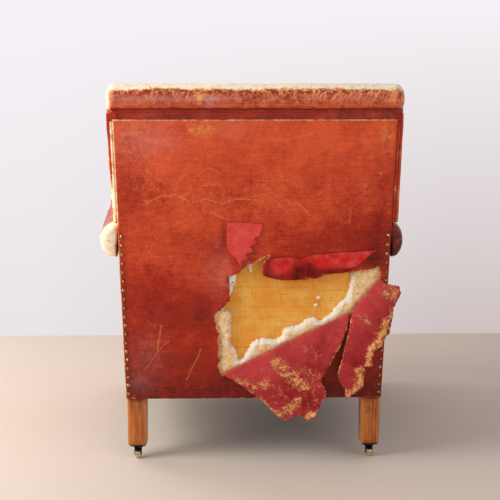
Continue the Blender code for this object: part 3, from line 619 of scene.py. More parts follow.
# Cotton wadding: matted fibre, near white on its torn rim and yellowed where it lay against the hide.
def cottonFluff():
    material, add, place, stain = newMaterial(
        "cotton_wadding_felted", "stain", IOR=1.45, Roughness=0.97, Sheen_Weight=0.2,
        Specular_IOR_Level=0.2)
    tufts = add(texture, place, 1 / 0.01, 6, 0.7)
    drawn = add(turned, place, (1, 1, 0.3), (0, -0.6, 0))
    fibres = add(texture, drawn, 1 / 0.0035, 4, 0.8, 1.5)
    white = add(tint, add(span, fibres, 0.35, 0.6), "#ffe9c0", "#fffdf4")
    yellow = add(tint, add(span, fibres, 0.35, 0.65), "#f7c27a", "#ffebba")
    yellow = add(tint, add(span, tufts, 0.52, 0.68), yellow, "#e49c48")
    share = add(fused, tufts, 1.3, stain)
    colour = add(tint, add(span, share, 0.85, 1.25), white, yellow)
    relief = add(fused, tufts, 1.4, fibres)
    return finish(material, colour, relief, 0.0018, strength=0.8)


# Printed cotton scrap: white, with small orange spots.
def spottedCotton():
    material, add, place = newMaterial("cotton_scrap_spotted", IOR=1.5, Roughness=0.9)
    spots = add(cells, place, 1 / 0.01, 0.6)
    colour = add(tint, add(span, spots, 0.3, 0.38, 1, 0), "#fffaf0", "#f2a416")
    return finish(material, colour, spots, 0.0003)


# Beech leg, stained and French polished: straight grain under a warm gloss, pale at its rubbed corners.
def polishedBeech():
    material, add, place, worn, grime = newMaterial(
        "beech_french_polished", "worn", "grime", IOR=1.5, Coat_Weight=0.15, Coat_Roughness=0.15)
    lengthwise = add(turned, place, (1, 1, 0.07))
    grain = add(texture, lengthwise, 1 / 0.005, 4, None, 0.4)
    broad = add(texture, lengthwise, 1 / 0.025, 3)
    pores = add(texture, lengthwise, 1 / 0.0018, 2)
    blotch = add(texture, place, 1 / 0.02, 4)
    colour = add(tint, add(span, grain, 0.4, 0.62), "#94460a", "#cb6e1a")
    for share, shade in ((add(span, broad, 0.42, 0.7, 0, 0.6), "#cd7c2a"),
                         (add(span, blotch, 0.52, 0.75, 0, 0.55), "#4e210a"),
                         (add(span, pores, 0.6, 0.75, 0, 0.5), "#4d1f08"),
                         (add(times, grime, 0.85), "#2c1307"),
                         (add(times, worn, add(span, blotch, 0.35, 0.6, 0.3, 0.9)), "#dc9a4e")):
        colour = add(tint, share, colour, shade)
    relief = add(fused, pores, -0.6, grain)
    return finish(material, colour, relief, 0.0002, add(span, blotch, 0.3, 0.7, 0.25, 0.5))


# Rough-sawn beech: pale, dry, with saw marks across the grain.
def sawnBeech():
    material, add, place = newMaterial("beech_rough_sawn", IOR=1.5, Roughness=0.75)
    grain = add(texture, add(turned, place, (0.06, 1, 1)), 1 / 0.006, 4)
    marks = add(texture, add(turned, place, (1, 1, 0.1)), 1 / 0.004)
    colour = add(tint, add(span, grain, 0.3, 0.7), "#a97f52", "#d3ad7e")
    return finish(material, colour, add(plus, grain, marks), 0.0004)


# Jute webbing: tight twill strap, buff, its ribs slanting across it.
def twilledJute():
    material, add, place = newMaterial("jute_webbing_woven", IOR=1.5, Roughness=0.9)
    diagonal = add(turned, place, None, (0, 0, math.radians(45)))
    ribs, cross = plainWeave(add, diagonal, "XY", 0.003)
    weave = add(times, ribs, cross)
    colour = add(tint, weave, "#7d6340", "#b59a6c")
    return finish(material, colour, weave, 0.0006)


# Black cambric: glazed plain cotton, thin and dusty.
def blackCambric():
    material, add, place = newMaterial("cambric_black_woven", IOR=1.5, Roughness=0.8)
    across, down = plainWeave(add, place, "XY", 0.0018)
    weave = add(times, across, down)
    dust = add(texture, place, 1 / 0.08, 4)
    colour = add(tint, add(span, dust, 0.4, 0.75, 0, 0.6), "#1b191a", "#4a4340")
    colour = add(tint, add(span, weave, 0, 1, 0, 0.3), colour, "#3a3536")
    return finish(material, colour, weave, 0.0003)


# Metals, drawn, stamped, cast or forged, with tarnish that gathers in the low places.
def agedMetal(name, bright, dark, dull):
    return grained(name, (1 / 0.006, 4, 0.65), (0.45, 0.7), (bright, dark), 0.0002, dull, Metallic=1.0)


hide = wornHide("red_cowhide_waxed", hideLook, 0.28)
glazed = wornHide("red_cowhide_hand_polished", hideLook, 0.6)
flesh, redCloth, jute, cotton = fleshSide(), patchCloth(), wovenJute(burlapLook), cottonFluff()
spotted, legWood, railWood = spottedCotton(), polishedBeech(), sawnBeech()
strap, cambric = twilledJute(), blackCambric()
# A torn section of hide: raw fibre, tan to orange and shaggy.
fibre = grained("cowhide_torn_fibre", (1 / 0.005, 4, 0.75), (0.42, 0.58), ("#9e3c1c", "#f2b46c"), 0.001,
                Roughness=0.9, IOR=1.45, Specular_IOR_Level=0.2)
# Curled horsehair: dark, wiry and matt.
hair = grained("horsehair_curled", (1 / 0.004, 4, 0.8, 3.0), (0.4, 0.65), ("#1d1512", "#5b4636"), 0.002,
               IOR=1.5, Roughness=0.85)
springSteel = agedMetal("spring_steel_drawn", "#8c8883", "#4f4038", 0.4)
nailBrass = agedMetal("brass_nail_stamped", "#c39a66", "#50341d", 0.3)
castorBrass = agedMetal("brass_castor_cast", "#ecd9a8", "#a08050", 0.18)
tarnished = agedMetal("brass_plate_tarnished", "#4a3a26", "#1c1610", 0.45)
castorIron = agedMetal("iron_castor_forged", "#2e2b29", "#191716", 0.45)
print("materials made")


# outside back: one hide, stretched over wadding, nailed at both sides, torn open and cracked
outsideBack = {
    "spacing": 0.0055, "hemTurn": 0.006, "sideTurn": 0.0006, "topTurn": 0.0015,
    "puff": 0.0028, "curl": 0.0035, "creaseWidth": 0.0011, "top": chair["panelTop"] + 0.004,
}
tornWindow = mm([
    (-61, 440), (-37, 444), (-15, 467), (-2, 468), (8, 473.5), (16.5, 477.5), (25, 482.5), (32, 486),
    (27, 480), (20, 474), (16.5, 468), (17.5, 443), (45, 432), (89, 430), (120, 432), (144, 434), (157, 442),
    (182, 445), (215, 448), (230, 452), (243, 451), (274, 461), (278, 431), (213, 352), (-71, 206),
    (-78, 222), (-77, 266), (-80, 306), (-86, 332), (-84, 356), (-77, 361), (-55, 382), (-56, 398),
    (-60, 421),
])
creaseLines = [  # in mm
    [(-235, 605), (-217, 613), (-202, 621), (-186, 620), (-170, 624), (-150, 612), (-138, 606), (-119, 609),
     (-105, 614), (-88, 608), (-67, 603), (-51, 611), (-33, 614), (-2, 611)],
    [(-232, 495), (-221, 512), (-210, 530), (-191, 546), (-169, 559), (-150, 567), (-138, 579),
     (-132, 587)],
    [(-119, 639), (-100, 645), (-73, 644)],
    [(-95, 584), (-76, 574), (-64, 569)],
    [(-291, 715), (-269, 718), (-230, 717), (-212, 713)],
    [(-284, 752), (-259, 753), (-238, 758)],
    [(-122, 665), (-115, 673), (-103, 681), (-88, 678), (-73, 668)],
    [(-11, 618), (19, 623), (44, 609), (55, 599), (73, 579)],
    [(88, 606), (106, 590), (119, 577)],
    [(207, 592), (218, 605), (226, 618), (238, 633), (244, 649)],
    [(207, 592), (205, 557)],
    [(28, 742), (58, 739), (82, 745), (118, 754)],
    [(7, 653), (44, 651), (68, 653)],
    [(271, 732), (276, 757), (278, 775)],
    [(257, 705), (275, 713), (293, 717)],
    [(-246, 222), (-231, 241), (-224, 255), (-205, 277), (-192, 289)],
    [(-218, 265), (-216, 282), (-212, 302), (-208, 323)],
    [(-240, 339), (-226, 323), (-216, 316)],
    [(-151, 199), (-141, 223), (-128, 247), (-121, 268)],
]
# rubbed, dirty, crackled and bloomed areas, and painted light and shade: x, z, half width and half
# height in mm, then strength
rubbedAreas = [
    (-112, 763, 60, 26, 0.3), (-116, 764, 34, 15, 0.14), (-257, 754, 18, 6, 0.38), (280, 750, 14, 30, 0.42),
    (-231, 672, 12, 9, 0.34), (269, 668, 4, 4, 0.5), (68, 653, 4, 4, 0.4), (-226, 323, 10, 10, 0.2),
    (238, 640, 6, 8, 0.3), (120, 745, 80, 30, 0.06), (-260, 716, 30, 10, 0.2), (12, 474.5, 8, 2.2, 0.8),
    (22, 480.5, 7, 2.2, 0.8), (31, 486, 6, 2, 0.75), (290, 600, 6, 30, 0.3),
]
# the narrow dirty area at x -68 mm is painted shadow beside the left patch's edge
dirtAndShadeAreas = [
    (-275, 640, 28, 65, 0.22), (-264, 176, 26, 18, 0.38), (-243, 650, 5, 3, 0.8), (-272, 745, 10, 8, 0.5),
    (150, 700, 60, 30, 0.06), (-68, 530, 6, 35, 0.35),
]
crackledAreas = [
    (-150, 620, 150, 50, 0.55), (-240, 710, 60, 80, 0.55), (50, 620, 80, 50, 0.35), (-220, 280, 50, 70, 0.45),
    (240, 620, 45, 60, 0.4), (260, 730, 50, 50, 0.5), (-60, 350, 60, 60, 0.25), (0, 700, 250, 50, 0.2),
    (0, 600, 100, 20, 0.2),
]
bloomedAreas = [
    (-240, 745, 80, 40, 0.3), (-50, 760, 60, 20, 0.12), (-262, 184, 28, 20, 0.2), (-80, 455, 26, 50, 0.2),
    (-240, 250, 40, 60, 0.12),
]
# painted light and shade: lighter spots, and painted shadow beside the patches and down the right side
lightAndShadeAreas = [
    (262, 474, 30, 22, -0.7), (-68, 530, 7, 35, -0.4), (-275, 650, 40, 80, -0.45),
    (230, 600, 60, 90, -0.3), (200, 530, 80, 40, -0.35), (-80, 420, 80, 100, 0.1),
    (-20, 300, 120, 120, -0.05), (120, 740, 60, 40, 0.14), (-180, 700, 60, 40, 0.15), (30, 680, 50, 30, 0.15),
    (270, 560, 20, 80, -0.35), (-240, 420, 50, 60, -0.15), (-140, 560, 50, 30, 0.12),
]
# painted light falloff: the hide lighter near its top and darker towards the hem
paintedLightByHeight = ([0.147, 0.2, 0.27, 0.4, 0.55, 0.68, 0.78], [-0.66, -0.46, -0.22, 0.02, 0.38, 0.62, 0.74])


def areas(points, table):
    total = np.zeros(len(points))
    for row in table:
        x, z, wide, tall = mm(row[:4])
        total += row[4] * np.exp(-((points[:, 0] - x) / wide) ** 2 - ((points[:, 1] - z) / tall) ** 2)
    return total


def foldOver(past, radius):
    turn = np.clip(past / radius, 0, math.pi / 2)  # how far out and how deep a sheet lies past a fold
    out = radius * np.sin(turn) + np.minimum(past, 0)
    deep = radius * (1 - np.cos(turn)) + np.maximum(past - radius * math.pi / 2, 0)
    return out, deep


# brass nails down both sides of the back, set out along the panel's edge
nails = {
    "radius": 0.0043, "height": 0.0026, "seed": 5, "lowest": 0.161, "pitch": 0.0205, "count": 19,
    "inset": 0.0065,
}


def nailPlaces(look):
    rows = [look["lowest"] + look["pitch"] * i for i in range(look["count"])]
    return [(side * (edgeX(z) - look["inset"]), z) for side in (-1, 1) for z in rows]


def makeOutsideBack(look):
    radius, top, hem = chair["foldRadius"], look["top"], chair["hemZ"]
    beyond = radius * (math.pi / 2 - 1)  # a sheet's length round a fold, past its edge
    low, high = hem - beyond - look["hemTurn"], top + beyond + look["topTurn"]
    side = [(edgeX(z) + beyond + look["sideTurn"], z) for z in np.linspace(low, high, 160)]
    bottom = [(x, low) for x in np.linspace(-side[0][0], side[0][0], 110)[1:-1]]
    upper = [(x, high) for x in np.linspace(side[-1][0], -side[-1][0], 110)[1:-1]]
    outline = bottom + side + upper + [(-x, z) for x, z in reversed(side)]
    window = tornLine(tornWindow, 0.0028, 0.0022, 3, tooth=0.0004)
    creases = [smoothPath(resample(mm(line), 0.0018), 3) for line in creaseLines]
    extra = []
    for middle in creases:
        run = unit(np.gradient(middle, axis=0))
        across = np.stack([run[:, 1], -run[:, 0]], axis=1)
        extra += [middle + shift * across for shift in (-0.003, -0.0011, 0.0, 0.0011, 0.003)]
    for inset in (0.0004, 0.0022, 0.0042):  # close rows along the edges, for their worn lines
        extra.append([(x, top - inset) for x in np.arange(-0.3, 0.3, 0.0022)])
        extra.append([(x, hem + inset) for x in np.arange(-0.288, 0.288, 0.003)])
        extra += [[(turn * (edgeX(z) - inset), z) for z in np.arange(0.153, 0.78, 0.003)] for turn in (-1, 1)]
    flat, faces = flatSheet(outline, [window], look["spacing"], np.vstack(extra))
    x, z = flat.T
    half = edgeX(z) - radius
    outSide, deepSide = foldOver(np.abs(x) - half, radius)
    outLow, deepLow = foldOver(hem + radius - z, radius)
    outHigh, deepHigh = foldOver(z - (top - radius), radius)
    newX = np.sign(x) * (half + outSide)
    newZ = np.where(z < 0.4, hem + radius - outLow, top - radius + outHigh)
    deep = np.maximum.reduce([deepSide, deepLow, deepHigh])
    spots = places(x, 0, z)
    toSide = edgeX(z) - np.abs(x)
    toBorder = np.minimum.reduce([toSide, z - hem, top - z])
    toTear = distanceToLine(flat, window, closed=True)
    toNail = np.min(np.linalg.norm(flat[:, None] - np.array(nailPlaces(nails)), axis=2), axis=1)
    crease = np.zeros(len(flat))
    for i, middle in enumerate(creases):
        line = near(distanceToLine(flat, middle), look["creaseWidth"])
        crease = np.maximum(crease, (0.6 + 0.32 * math.cos(i * 2.4)) * line)
    slack = ease(toBorder, 0, 0.05)
    lift = look["puff"] * slack * (0.6 + 0.4 * ease(toTear, 0, 0.08))
    lift += 0.0022 * slack * rough(spots, 0.11, 4, 2) + 0.0008 * slack * rough(spots, 0.03, 9)
    curl = near(toTear, 0.007) * ease(z, 0.2, 0.3)
    lift += look["curl"] * curl * (0.7 + 0.9 * rough(spots, 0.02, 12, 2))
    lift += 0.0006 * crease - 0.0014 * near(toNail, 0.006)
    lift += 0.0008 * ease(toBorder, 0, 0.004) * near(toBorder, 0.012)
    front = places(newX, rakedY(newZ) + deep - lift * (deep < 0.0005), newZ)
    thick = chair["hide"] * (0.45 + 0.55 * ease(toTear, 0, 0.004))
    piece = thickSheet("outside_back_hide", front, faces, thick, (0, -1, 0), (hide, flesh, fibre))
    ragged = rough(spots, 0.01, 33, 2)
    # tone: painted light falloff by height, painted light and shade in places, and random variation
    tone = np.interp(z, *paintedLightByHeight) + areas(flat, lightAndShadeAreas) + 0.22 * rough(spots, 0.09, 21)
    worn = areas(flat, rubbedAreas)
    corner = ease(0.365 - z, 0, 0.02) * ease(0.0 - x, 0, 0.02)
    worn += near(toTear, 0.0032) * (0.28 + 0.55 * corner + 0.5 * ragged)
    worn = np.maximum(worn, (0.95 + 0.9 * ragged) * near(z - top, 0.0024))
    worn = np.maximum(worn, (0.3 + 0.4 * ragged) * near(z - hem, 0.003))
    above = ease(z, 0.545, 0.56)
    # a pale line down the left edge, painted as a highlight; along the right edge, wear
    sideLine = near(toSide - 0.0006, 0.0022)
    worn = np.maximum(worn, sideLine * np.where(x < 0, 0.35 + 0.75 * above, 0.1 + 0.2 * above + 0.3 * ragged))
    nailLine = near(toSide - nails["inset"], 0.004) * (1 - above)
    grime = areas(flat, dirtAndShadeAreas) + 0.45 * near(toNail, 0.008) + 0.35 * nailLine
    # painted shade in the groove along the right edge above the arm
    grime += 0.5 * above * (x > 0) * near(toSide, 0.005)
    paint(piece, tone=tone, worn=worn, crease=crease, crackle=areas(flat, crackledAreas), grime=grime,
          bloom=areas(flat, bloomedAreas))
    return fit(piece, ["outside_back"])


backHide = makeOutsideBack(outsideBack)
print("outside back:", len(backHide.data.polygons), "faces")

# the two torn tongues: they roll over the window's lower edge and hang straight down, flesh side out
tongue = {
    "fold": mm([(-71, 206), (211, 350)]),
    "edge": mm([
        (209, 322), (192, 279), (165, 228), (151, 203), (152, 189), (161, 173), (159, 156), (141, 124),
        (139, 114), (119, 101), (114, 110), (94, 115), (67, 105), (46, 118), (28, 139), (-8, 167), (-35, 188),
    ]),
    "flakes": [  # a line, its half width in mm and its strength
        ([(42, 248), (55, 224), (78, 208), (96, 194), (116, 184)], 20, 0.56),
        ([(-56, 203), (-37, 193), (-19, 184), (3, 181), (30, 185)], 16, 0.46),
        ([(-19, 174), (17, 148), (35, 129)], 10, 0.42),
        ([(53, 113), (69, 127), (89, 138), (98, 150)], 18, 0.52), ([(119, 108), (139, 122)], 11, 0.62),
        ([(115, 268), (140, 263)], 16, 0.34), ([(118, 217), (148, 201)], 20, 0.36),
        ([(20, 232), (60, 262)], 16, 0.18), ([(40, 170), (130, 150)], 45, 0.22),
    ],
    "wave": 0.0045, "curl": 0.007, "seed": 31,
}
strip = {
    "fold": mm([(217, 357), (278, 431)]),
    "edge": mm([
        (293, 420), (319, 416), (324, 400), (309, 366), (307, 350), (299, 309), (286, 293), (284, 280),
        (264, 266), (262, 234), (249, 232), (245, 211), (243, 183), (219, 167), (203, 156), (205, 177),
        (191, 195), (186, 211), (196, 250), (206, 296), (214, 335),
    ]),
    "flakes": [
        ([(293, 418), (315, 407), (304, 393), (292, 400)], 13, 0.66), ([(309, 380), (303, 348)], 10, 0.45),
        ([(292, 336), (282, 307), (274, 291)], 12, 0.66), ([(234, 348), (254, 335)], 12, 0.42),
        ([(266, 282), (257, 271), (255, 252), (251, 236)], 8, 0.75),
        ([(233, 222), (240, 193), (225, 174), (210, 163)], 13, 0.64),
        ([(216, 362), (210, 328), (201, 283), (189, 221)], 3, 0.7),
    ],
    "wave": 0.003, "curl": 0.006, "seed": 47,
}


def makeHangingTear(name, look, radius=0.0035):
    (x0, z0), (x1, z1) = ends = look["fold"]
    above = math.pi * radius + 0.004
    torn = np.vstack([ends[1:], look["edge"], ends[:1]])
    torn = tornLine(torn, 0.0026, 0.0022, look["seed"], 0.0005, closed=False)
    count = int(math.hypot(x1 - x0, z1 - z0) / 0.004)
    fold = [(x0 + (x1 - x0) * i / count, z0 + (z1 - z0) * i / count + above) for i in range(count + 1)]
    flat, faces = flatSheet(list(torn) + fold, spacing=0.0045)
    x, z = flat.T
    foldZ = z0 + (z1 - z0) * (x - x0) / (x1 - x0)
    foldZ = np.where(x > x1, z1 - 0.35 * (x - x1), foldZ)
    down = foldZ - z
    foldY = rakedY(foldZ)
    angle = np.clip(-down / radius, 0, math.pi)
    inner = np.maximum(-down - math.pi * radius, 0)
    newY = foldY - radius - radius * np.cos(angle)
    newZ = np.where(down >= 0, z, foldZ + radius * np.sin(angle) - inner)
    spots = places(x, 0, z)
    toEdge = distanceToLine(flat, torn)
    hangs = ease(down, 0, 0.06)
    newY -= look["wave"] * hangs * rough(spots, 0.07, look["seed"], 2)
    newY -= 0.001 * hangs * rough(spots, 0.02, look["seed"] + 3)
    curled = 0.25 + rough(spots, 0.045, look["seed"] + 8, 2)
    newY -= look["curl"] * near(toEdge, 0.011) * hangs * curled
    thick = chair["hide"] * (0.35 + 0.65 * ease(toEdge, 0, 0.006))
    piece = thickSheet(name, places(x, newY, newZ), faces, thick, (0, -1, 0), (flesh, hide, fibre))
    worn = (0.42 + 0.5 * rough(spots, 0.012, look["seed"] + 1, 2)) * near(toEdge, 0.004)
    for line, width, strength in look["flakes"]:
        worn = np.maximum(worn, strength * near(distanceToLine(flat, mm(line)), width / 1000))
    worn -= 0.3 * ease(-down, -0.03, 0)
    # tone: lighter near the fold as a painted grazing highlight, darker lower down
    tone = 0.45 * ease(-down, -0.09, -0.01) - 0.25 * ease(down, 0.05, 0.12) + 0.2 * rough(spots, 0.04, 5, 2)
    paint(piece, worn=np.concatenate([worn, 0.3 * worn]), tone=np.concatenate([tone, tone - 0.5]),
          crackle=0.3)
    return piece


fit(makeHangingTear("torn_tongue_hide", tongue))
fit(makeHangingTear("torn_strip_hide", strip))
print("torn tongues made")

# cotton wadding: what is left of it round the window, thick and lumpy at its torn rim
waddingLook = {"spacing": 0.004, "lump": 0.0034, "rim": 0.0042, "tip": 0.0125}
waddingHole = mm([
    (-53, 353), (-53, 277), (-42, 262), (-37, 240), (-29, 239), (-8, 277), (6, 288), (21, 291), (48, 288),
    (60, 294), (66, 315), (88, 319), (109, 327), (124, 343), (149, 333), (171, 350), (190, 376), (205, 390),
    (210, 408), (215, 430), (216, 470), (60, 500), (-75, 480), (-78, 372),
])
cottonShreds = {  # loose pieces that cling to the burlap
    "wadding_shred_left": (mm([(-62, 447), (-40, 449), (-40, 434), (-50, 402), (-57, 388), (-60, 410)]), 0.2),
    "wadding_shred_top": (mm([(-17, 470), (-4, 470), (-5, 449), (-13, 444)]), 0.45),
    "wadding_tuft_1": (mm([(139, 391), (148, 390), (147, 383), (140, 382)]), 0.0),
    "wadding_tuft_2": (mm([(133, 372), (141, 372), (141, 365), (134, 364)]), 0.0),
}


def makeWadding(look):
    low, high = chair["hemZ"] + chair["liningUp"], chair["liningTop"]
    edge, tip = chair["liningIn"], look["tip"]  # wider where the window's tip would show its end
    insets = ((low, edge), (0.395, edge), (0.42, tip), (0.475, tip), (0.5, edge), (high, edge))
    rightSide = [(edgeX(z) - inset, z) for z, inset in insets]
    field = [(-edgeX(low) + edge, low)] + rightSide + [(-edgeX(high) + edge, high)]
    hole = tornLine(waddingHole, 0.0024, 0.0042, 14, tooth=0.001)
    flat, faces = flatSheet(resample(field, 0.008, closed=True), [hole], look["spacing"])
    x, z = flat.T
    spots = places(x, 0, z)
    toHole = distanceToLine(flat, hole, closed=True)
    shown = np.where(inside(flat, tornWindow), distanceToLine(flat, tornWindow, closed=True), 0.0)
    lumps = 0.5 * rough(spots, 0.018, 2, 4) + 0.5 * np.abs(rough(spots, 0.008, 6))
    lumps += 0.6 * rough(spots, 0.004, 8, 2)
    depth = chair["wadding"] + 0.0002
    depth = depth - ease(shown, 0.001, 0.01) * (0.0022 + look["lump"] * np.maximum(lumps, -0.35))
    roll = np.maximum(ease(toHole, 0, look["rim"]) ** 0.5, 0.04)
    depth = chair["waddingRim"] + (depth - chair["waddingRim"]) * roll
    piece = rakedSheet("back_wadding_cotton", flat, faces, (depth, chair["waddingBack"]), cotton)
    stain = ease(toHole, 0.004, 0.018) * 0.75 + 0.3 * rough(spots, 0.022, 17, 2)
    tipStain = 0.62 * ease(x, 0.212, 0.222) * ease(z, 0.36, 0.4) + 0.2 * rough(spots, 0.02, 5, 2)
    leftStain = 0.64 + 0.35 * rough(spots, 0.016, 19, 2) + 0.3 * ease(-x, 0.07, 0.08)
    stain = np.where(x < -0.045, leftStain, np.maximum(stain, tipStain))
    paint(piece, stain=stain - 0.35 * near(toHole, 0.003))
    return piece


def makeShred(name, outline, stain, seed, material):
    edge = tornLine(outline, 0.0022, 0.0016, seed, tooth=0.0005)
    flat, faces, spots, toEdge = cutSheet(edge, 0.0022)
    lumps = 0.7 + 0.8 * np.abs(rough(spots, 0.006, seed))
    rise = 0.0055 * ease(toEdge, 0, 0.005) * lumps
    piece = rakedSheet(name, flat, faces, (chair["waddingRim"] - rise, chair["waddingBack"]), material)
    paint(piece, stain=stain + 0.5 * rough(spots, 0.012, seed + 2, 2))
    return piece


wadding = fit(makeWadding(waddingLook), ["back_wadding"])
for number, (name, (outline, stain)) in enumerate(cottonShreds.items()):
    material = spotted if name.endswith("left") else cotton
    shred = fit(makeShred(name, outline, stain, 60 + number, material))
print("wadding made")

# burlap behind it, tacked to the posts and rails
burlapSheet = {"spacing": 0.006, "columns": 96, "thickness": 0.0008, "wave": 0.0003}


def makeBurlap(look):
    rows = np.arange(chair["hemZ"] + chair["liningUp"], chair["liningTop"] + 1e-6, look["spacing"])
    z, share, faces = gridOf(rows, np.linspace(-1, 1, look["columns"]))
    x = share * (edgeX(z) - chair["liningIn"])
    depth = chair["burlap"] + 0.0003 + look["wave"] * (0.5 + rough(places(x, 0, z), 0.05, 5))
    depths = (depth, depth + look["thickness"])
    return rakedSheet("back_burlap_jute", np.column_stack([x, z]), faces, depths, jute)


burlap = fit(makeBurlap(burlapSheet), ["back_burlap"])
print("burlap made")

# red cotton patches, once glued over the first tears and now half torn away
patches = {
    "cotton_patch_left": {
        "outline": mm([
            (-61, 562), (-11, 560), (17, 557), (17, 546), (10, 531), (-1, 523), (9, 516), (-8, 505),
            (-2, 497), (-17, 488), (-13, 478), (-30, 473), (-26, 461), (-37, 472), (-46, 485), (-57, 494),
            (-62, 515),
        ]),
        "frayed": mm([(12, 532), (-4, 500), (-30, 464)]), "node": "lining_scrap_left", "seed": 71,
        # darker along the frayed side: painted shade between the loose strands
        "grime": [(-2, 512, 10, 12, 0.35), (-20, 482, 12, 10, 0.3)], "tone": 0.85,
        "flat": (0.078, 0.112), "area": 0.0054, "crumple": [],
    },
    "cotton_patch_right": {
        "outline": mm([
            (24, 477.5), (40, 481), (90, 482), (100, 477), (112, 482), (125, 488), (187, 492.5), (266, 498),
            (249, 484), (234, 468), (219, 457), (204, 449), (182, 445), (148, 446), (135, 434), (113, 439),
            (96, 431), (67, 430), (34, 436), (18, 441),
        ]),
        "frayed": [], "node": "lining_scrap_right", "seed": 83,
        # darker places: stains, and painted shade at its bottom and in its folds
        "grime": [
            (118, 462, 17, 13, 1), (92, 452, 14, 30, 0.75), (26, 458, 12, 26, 0.85), (50, 436, 40, 10, 0.75),
            (150, 445, 60, 12, 1.2), (60, 470, 20, 8, 0.25), (200, 450, 35, 8, 1), (30, 478, 14, 6, 0.5),
        ],
        "tone": 0.05, "flat": (0.25, 0.072), "area": 0.0108, "crumple": [(55, 452, 40, 24, 1.0)],
    },
}


def makePatch(name, look):
    edge = tornLine(look["outline"], 0.0024, 0.0009, look["seed"], tooth=0.0002)
    if len(look["frayed"]):
        fray = near(distanceToLine(edge, look["frayed"]), 0.006)
        fray = fray * np.random.default_rng(look["seed"]).uniform(-1, 1, len(edge))
        edge = edge + fray[:, None] * np.array([0.003, -0.0026])
    flat, faces, spots, toEdge = cutSheet(edge, 0.0036)
    lift = 0.0046 + 0.0022 * rough(spots, 0.11, 4, 2) + 0.0004 * rough(spots, 0.014, look["seed"])
    lift += 0.0016 * near(toEdge, 0.006) * (0.4 + rough(spots, 0.02, look["seed"] + 4, 2))
    if look["crumple"]:
        folds = spots * np.array([0.5, 1, 1.4]) + np.array([0, 0, 1])
        lift += areas(flat, look["crumple"]) * (0.0022 + 0.0034 * np.abs(rough(folds, 0.016, 3)))
    piece = rakedSheet(name, flat, faces, (-lift, 0.0009 - lift), redCloth)
    paint(piece, grime=areas(flat, look["grime"]) + 0.2 * near(toEdge, 0.003), tone=look["tone"])
    if not len(look["frayed"]):
        return piece
    rng = np.random.default_rng(look["seed"] + 1)
    threads = [piece]
    for x, z in resample(look["frayed"], 0.0052):  # threads pulled out of the torn side
        reach, droop = rng.uniform(0.006, 0.015), rng.uniform(0.002, 0.009)
        path = [(x - 0.003 + share * reach, rakedY(z) - 0.0062, z + 0.002 - droop * share ** 2)
                for share in np.linspace(0, 1, 7)]
        thread = tube("thread", path, 0.00045, 6, material=redCloth)
        paint(thread, grime=0.25, tone=look["tone"])
        threads.append(thread)
    return join(name, threads)


for name, look in patches.items():
    patch = fit(makePatch(name, look), [look["node"]])
print("patches made")


# nodes set the nails' domes, each a little turned and of its own size
def nodeGroup(name, numbers, material):
    tree = bpy.data.node_groups.new(name, "GeometryNodeTree")
    tree.interface.new_socket("Geometry", in_out="INPUT", socket_type="NodeSocketGeometry")
    for label, value in numbers.items():
        kind = "NodeSocketInt" if isinstance(value, int) else "NodeSocketFloat"
        tree.interface.new_socket(label, in_out="INPUT", socket_type=kind).default_value = value
    tree.interface.new_socket("Geometry", in_out="OUTPUT", socket_type="NodeSocketGeometry")
    add = partial(addNode, tree)

    def close(made):
        plain = add("GeometryNodeRealizeInstances", {0: made})
        coated = add("GeometryNodeSetMaterial", {0: plain, "Material": material})
        add("NodeGroupOutput", {0: coated}, out=None)
        return tree
    return add, add("NodeGroupInput", out=None).outputs, close


def runNodes(name, points, edges, tree, values):
    piece = newPiece(name, points, [], edges)
    modifier = piece.modifiers.new("build", "NODES")
    modifier.node_group = tree
    for item in tree.interface.items_tree:
        if item.in_out == "INPUT" and item.name in values:
            modifier[item.identifier] = values[item.name]
    return bake(piece)


def nailTree():
    numbers = {"Radius": 0.0046, "Height": 0.0026, "Lean": 0.0, "Seed": 0}
    add, given, close = nodeGroup("domed_nails", numbers, nailBrass)
    dome = add("GeometryNodeMeshUVSphere", {"Segments": 14, "Rings": 8, "Radius": given["Radius"]})
    squeeze = add(divided, given["Height"], given["Radius"])
    flatter = add("ShaderNodeCombineXYZ", {0: 1.0, 1: 1.0, 2: squeeze})
    low = add("GeometryNodeTransform", {0: dome, "Scale": flatter})
    tilt = add(
        "FunctionNodeRandomValue", {0: (-0.12, -0.12, 0.0), 1: (0.12, 0.12, 6.28), "Seed": given["Seed"]},
        data_type="FLOAT_VECTOR")
    lean = add("ShaderNodeCombineXYZ", {0: given["Lean"]})
    turn = add("ShaderNodeVectorMath", {0: tilt, 1: lean}, operation="ADD")
    size = add("FunctionNodeRandomValue", {2: 0.92, 3: 1.06, "Seed": given["Seed"]}, out=1, data_type="FLOAT")
    row = add(
        "GeometryNodeInstanceOnPoints",
        {"Points": given["Geometry"], "Instance": low, "Rotation": turn, "Scale": size})
    return close(add("GeometryNodeSetShadeSmooth", {0: row}))


def makeNails(look):
    points = [(x, rakedY(z) + 0.0004, z) for x, z in nailPlaces(look)]
    lean = math.radians(90) - math.atan(chair["rake"])
    values = {"Radius": look["radius"], "Height": look["height"], "Lean": lean, "Seed": look["seed"]}
    return runNodes("back_nails_brass", points, [], nailTree(), values)


fit(makeNails(nails))
print("nails set")

# top scroll: a long stuffed roll, gathered into its ends and rubbed bare along its crest
scroll = {
    "y": -0.3525, "z": 0.818, "deep": 0.0525, "high": 0.042, "bulgeZ": 0.8305, "bulgeHigh": 0.029,
    "half": 0.3175, "endRun": 0.026, "stations": 230, "gathers": 14, "round": 2.6, "square": 2.3,
    "wornZ": 0.8488, "dirtZ": 0.834, "bloomZ": 0.827, "paleZ": 0.8135, "footZ": 0.805,
    "rubbed": (-0.119, 0.832), "scuffed": (-0.096, 0.82),
}
# where the roll turns under and is pleated in, as (y, z)
scrollTuck = mm([
    (-396.5, 811.5), (-390.5, 808), (-382.6, 805.8), (-377.5, 803.5), (-376.8, 800.5), (-378.2, 797),
    (-376.7, 794), (-378.3, 790.5), (-376.7, 787.5), (-377.7, 784.5), (-375.7, 781.5), (-370, 778.8),
    (-362, 777.2), (-352.5, 776.8),
])


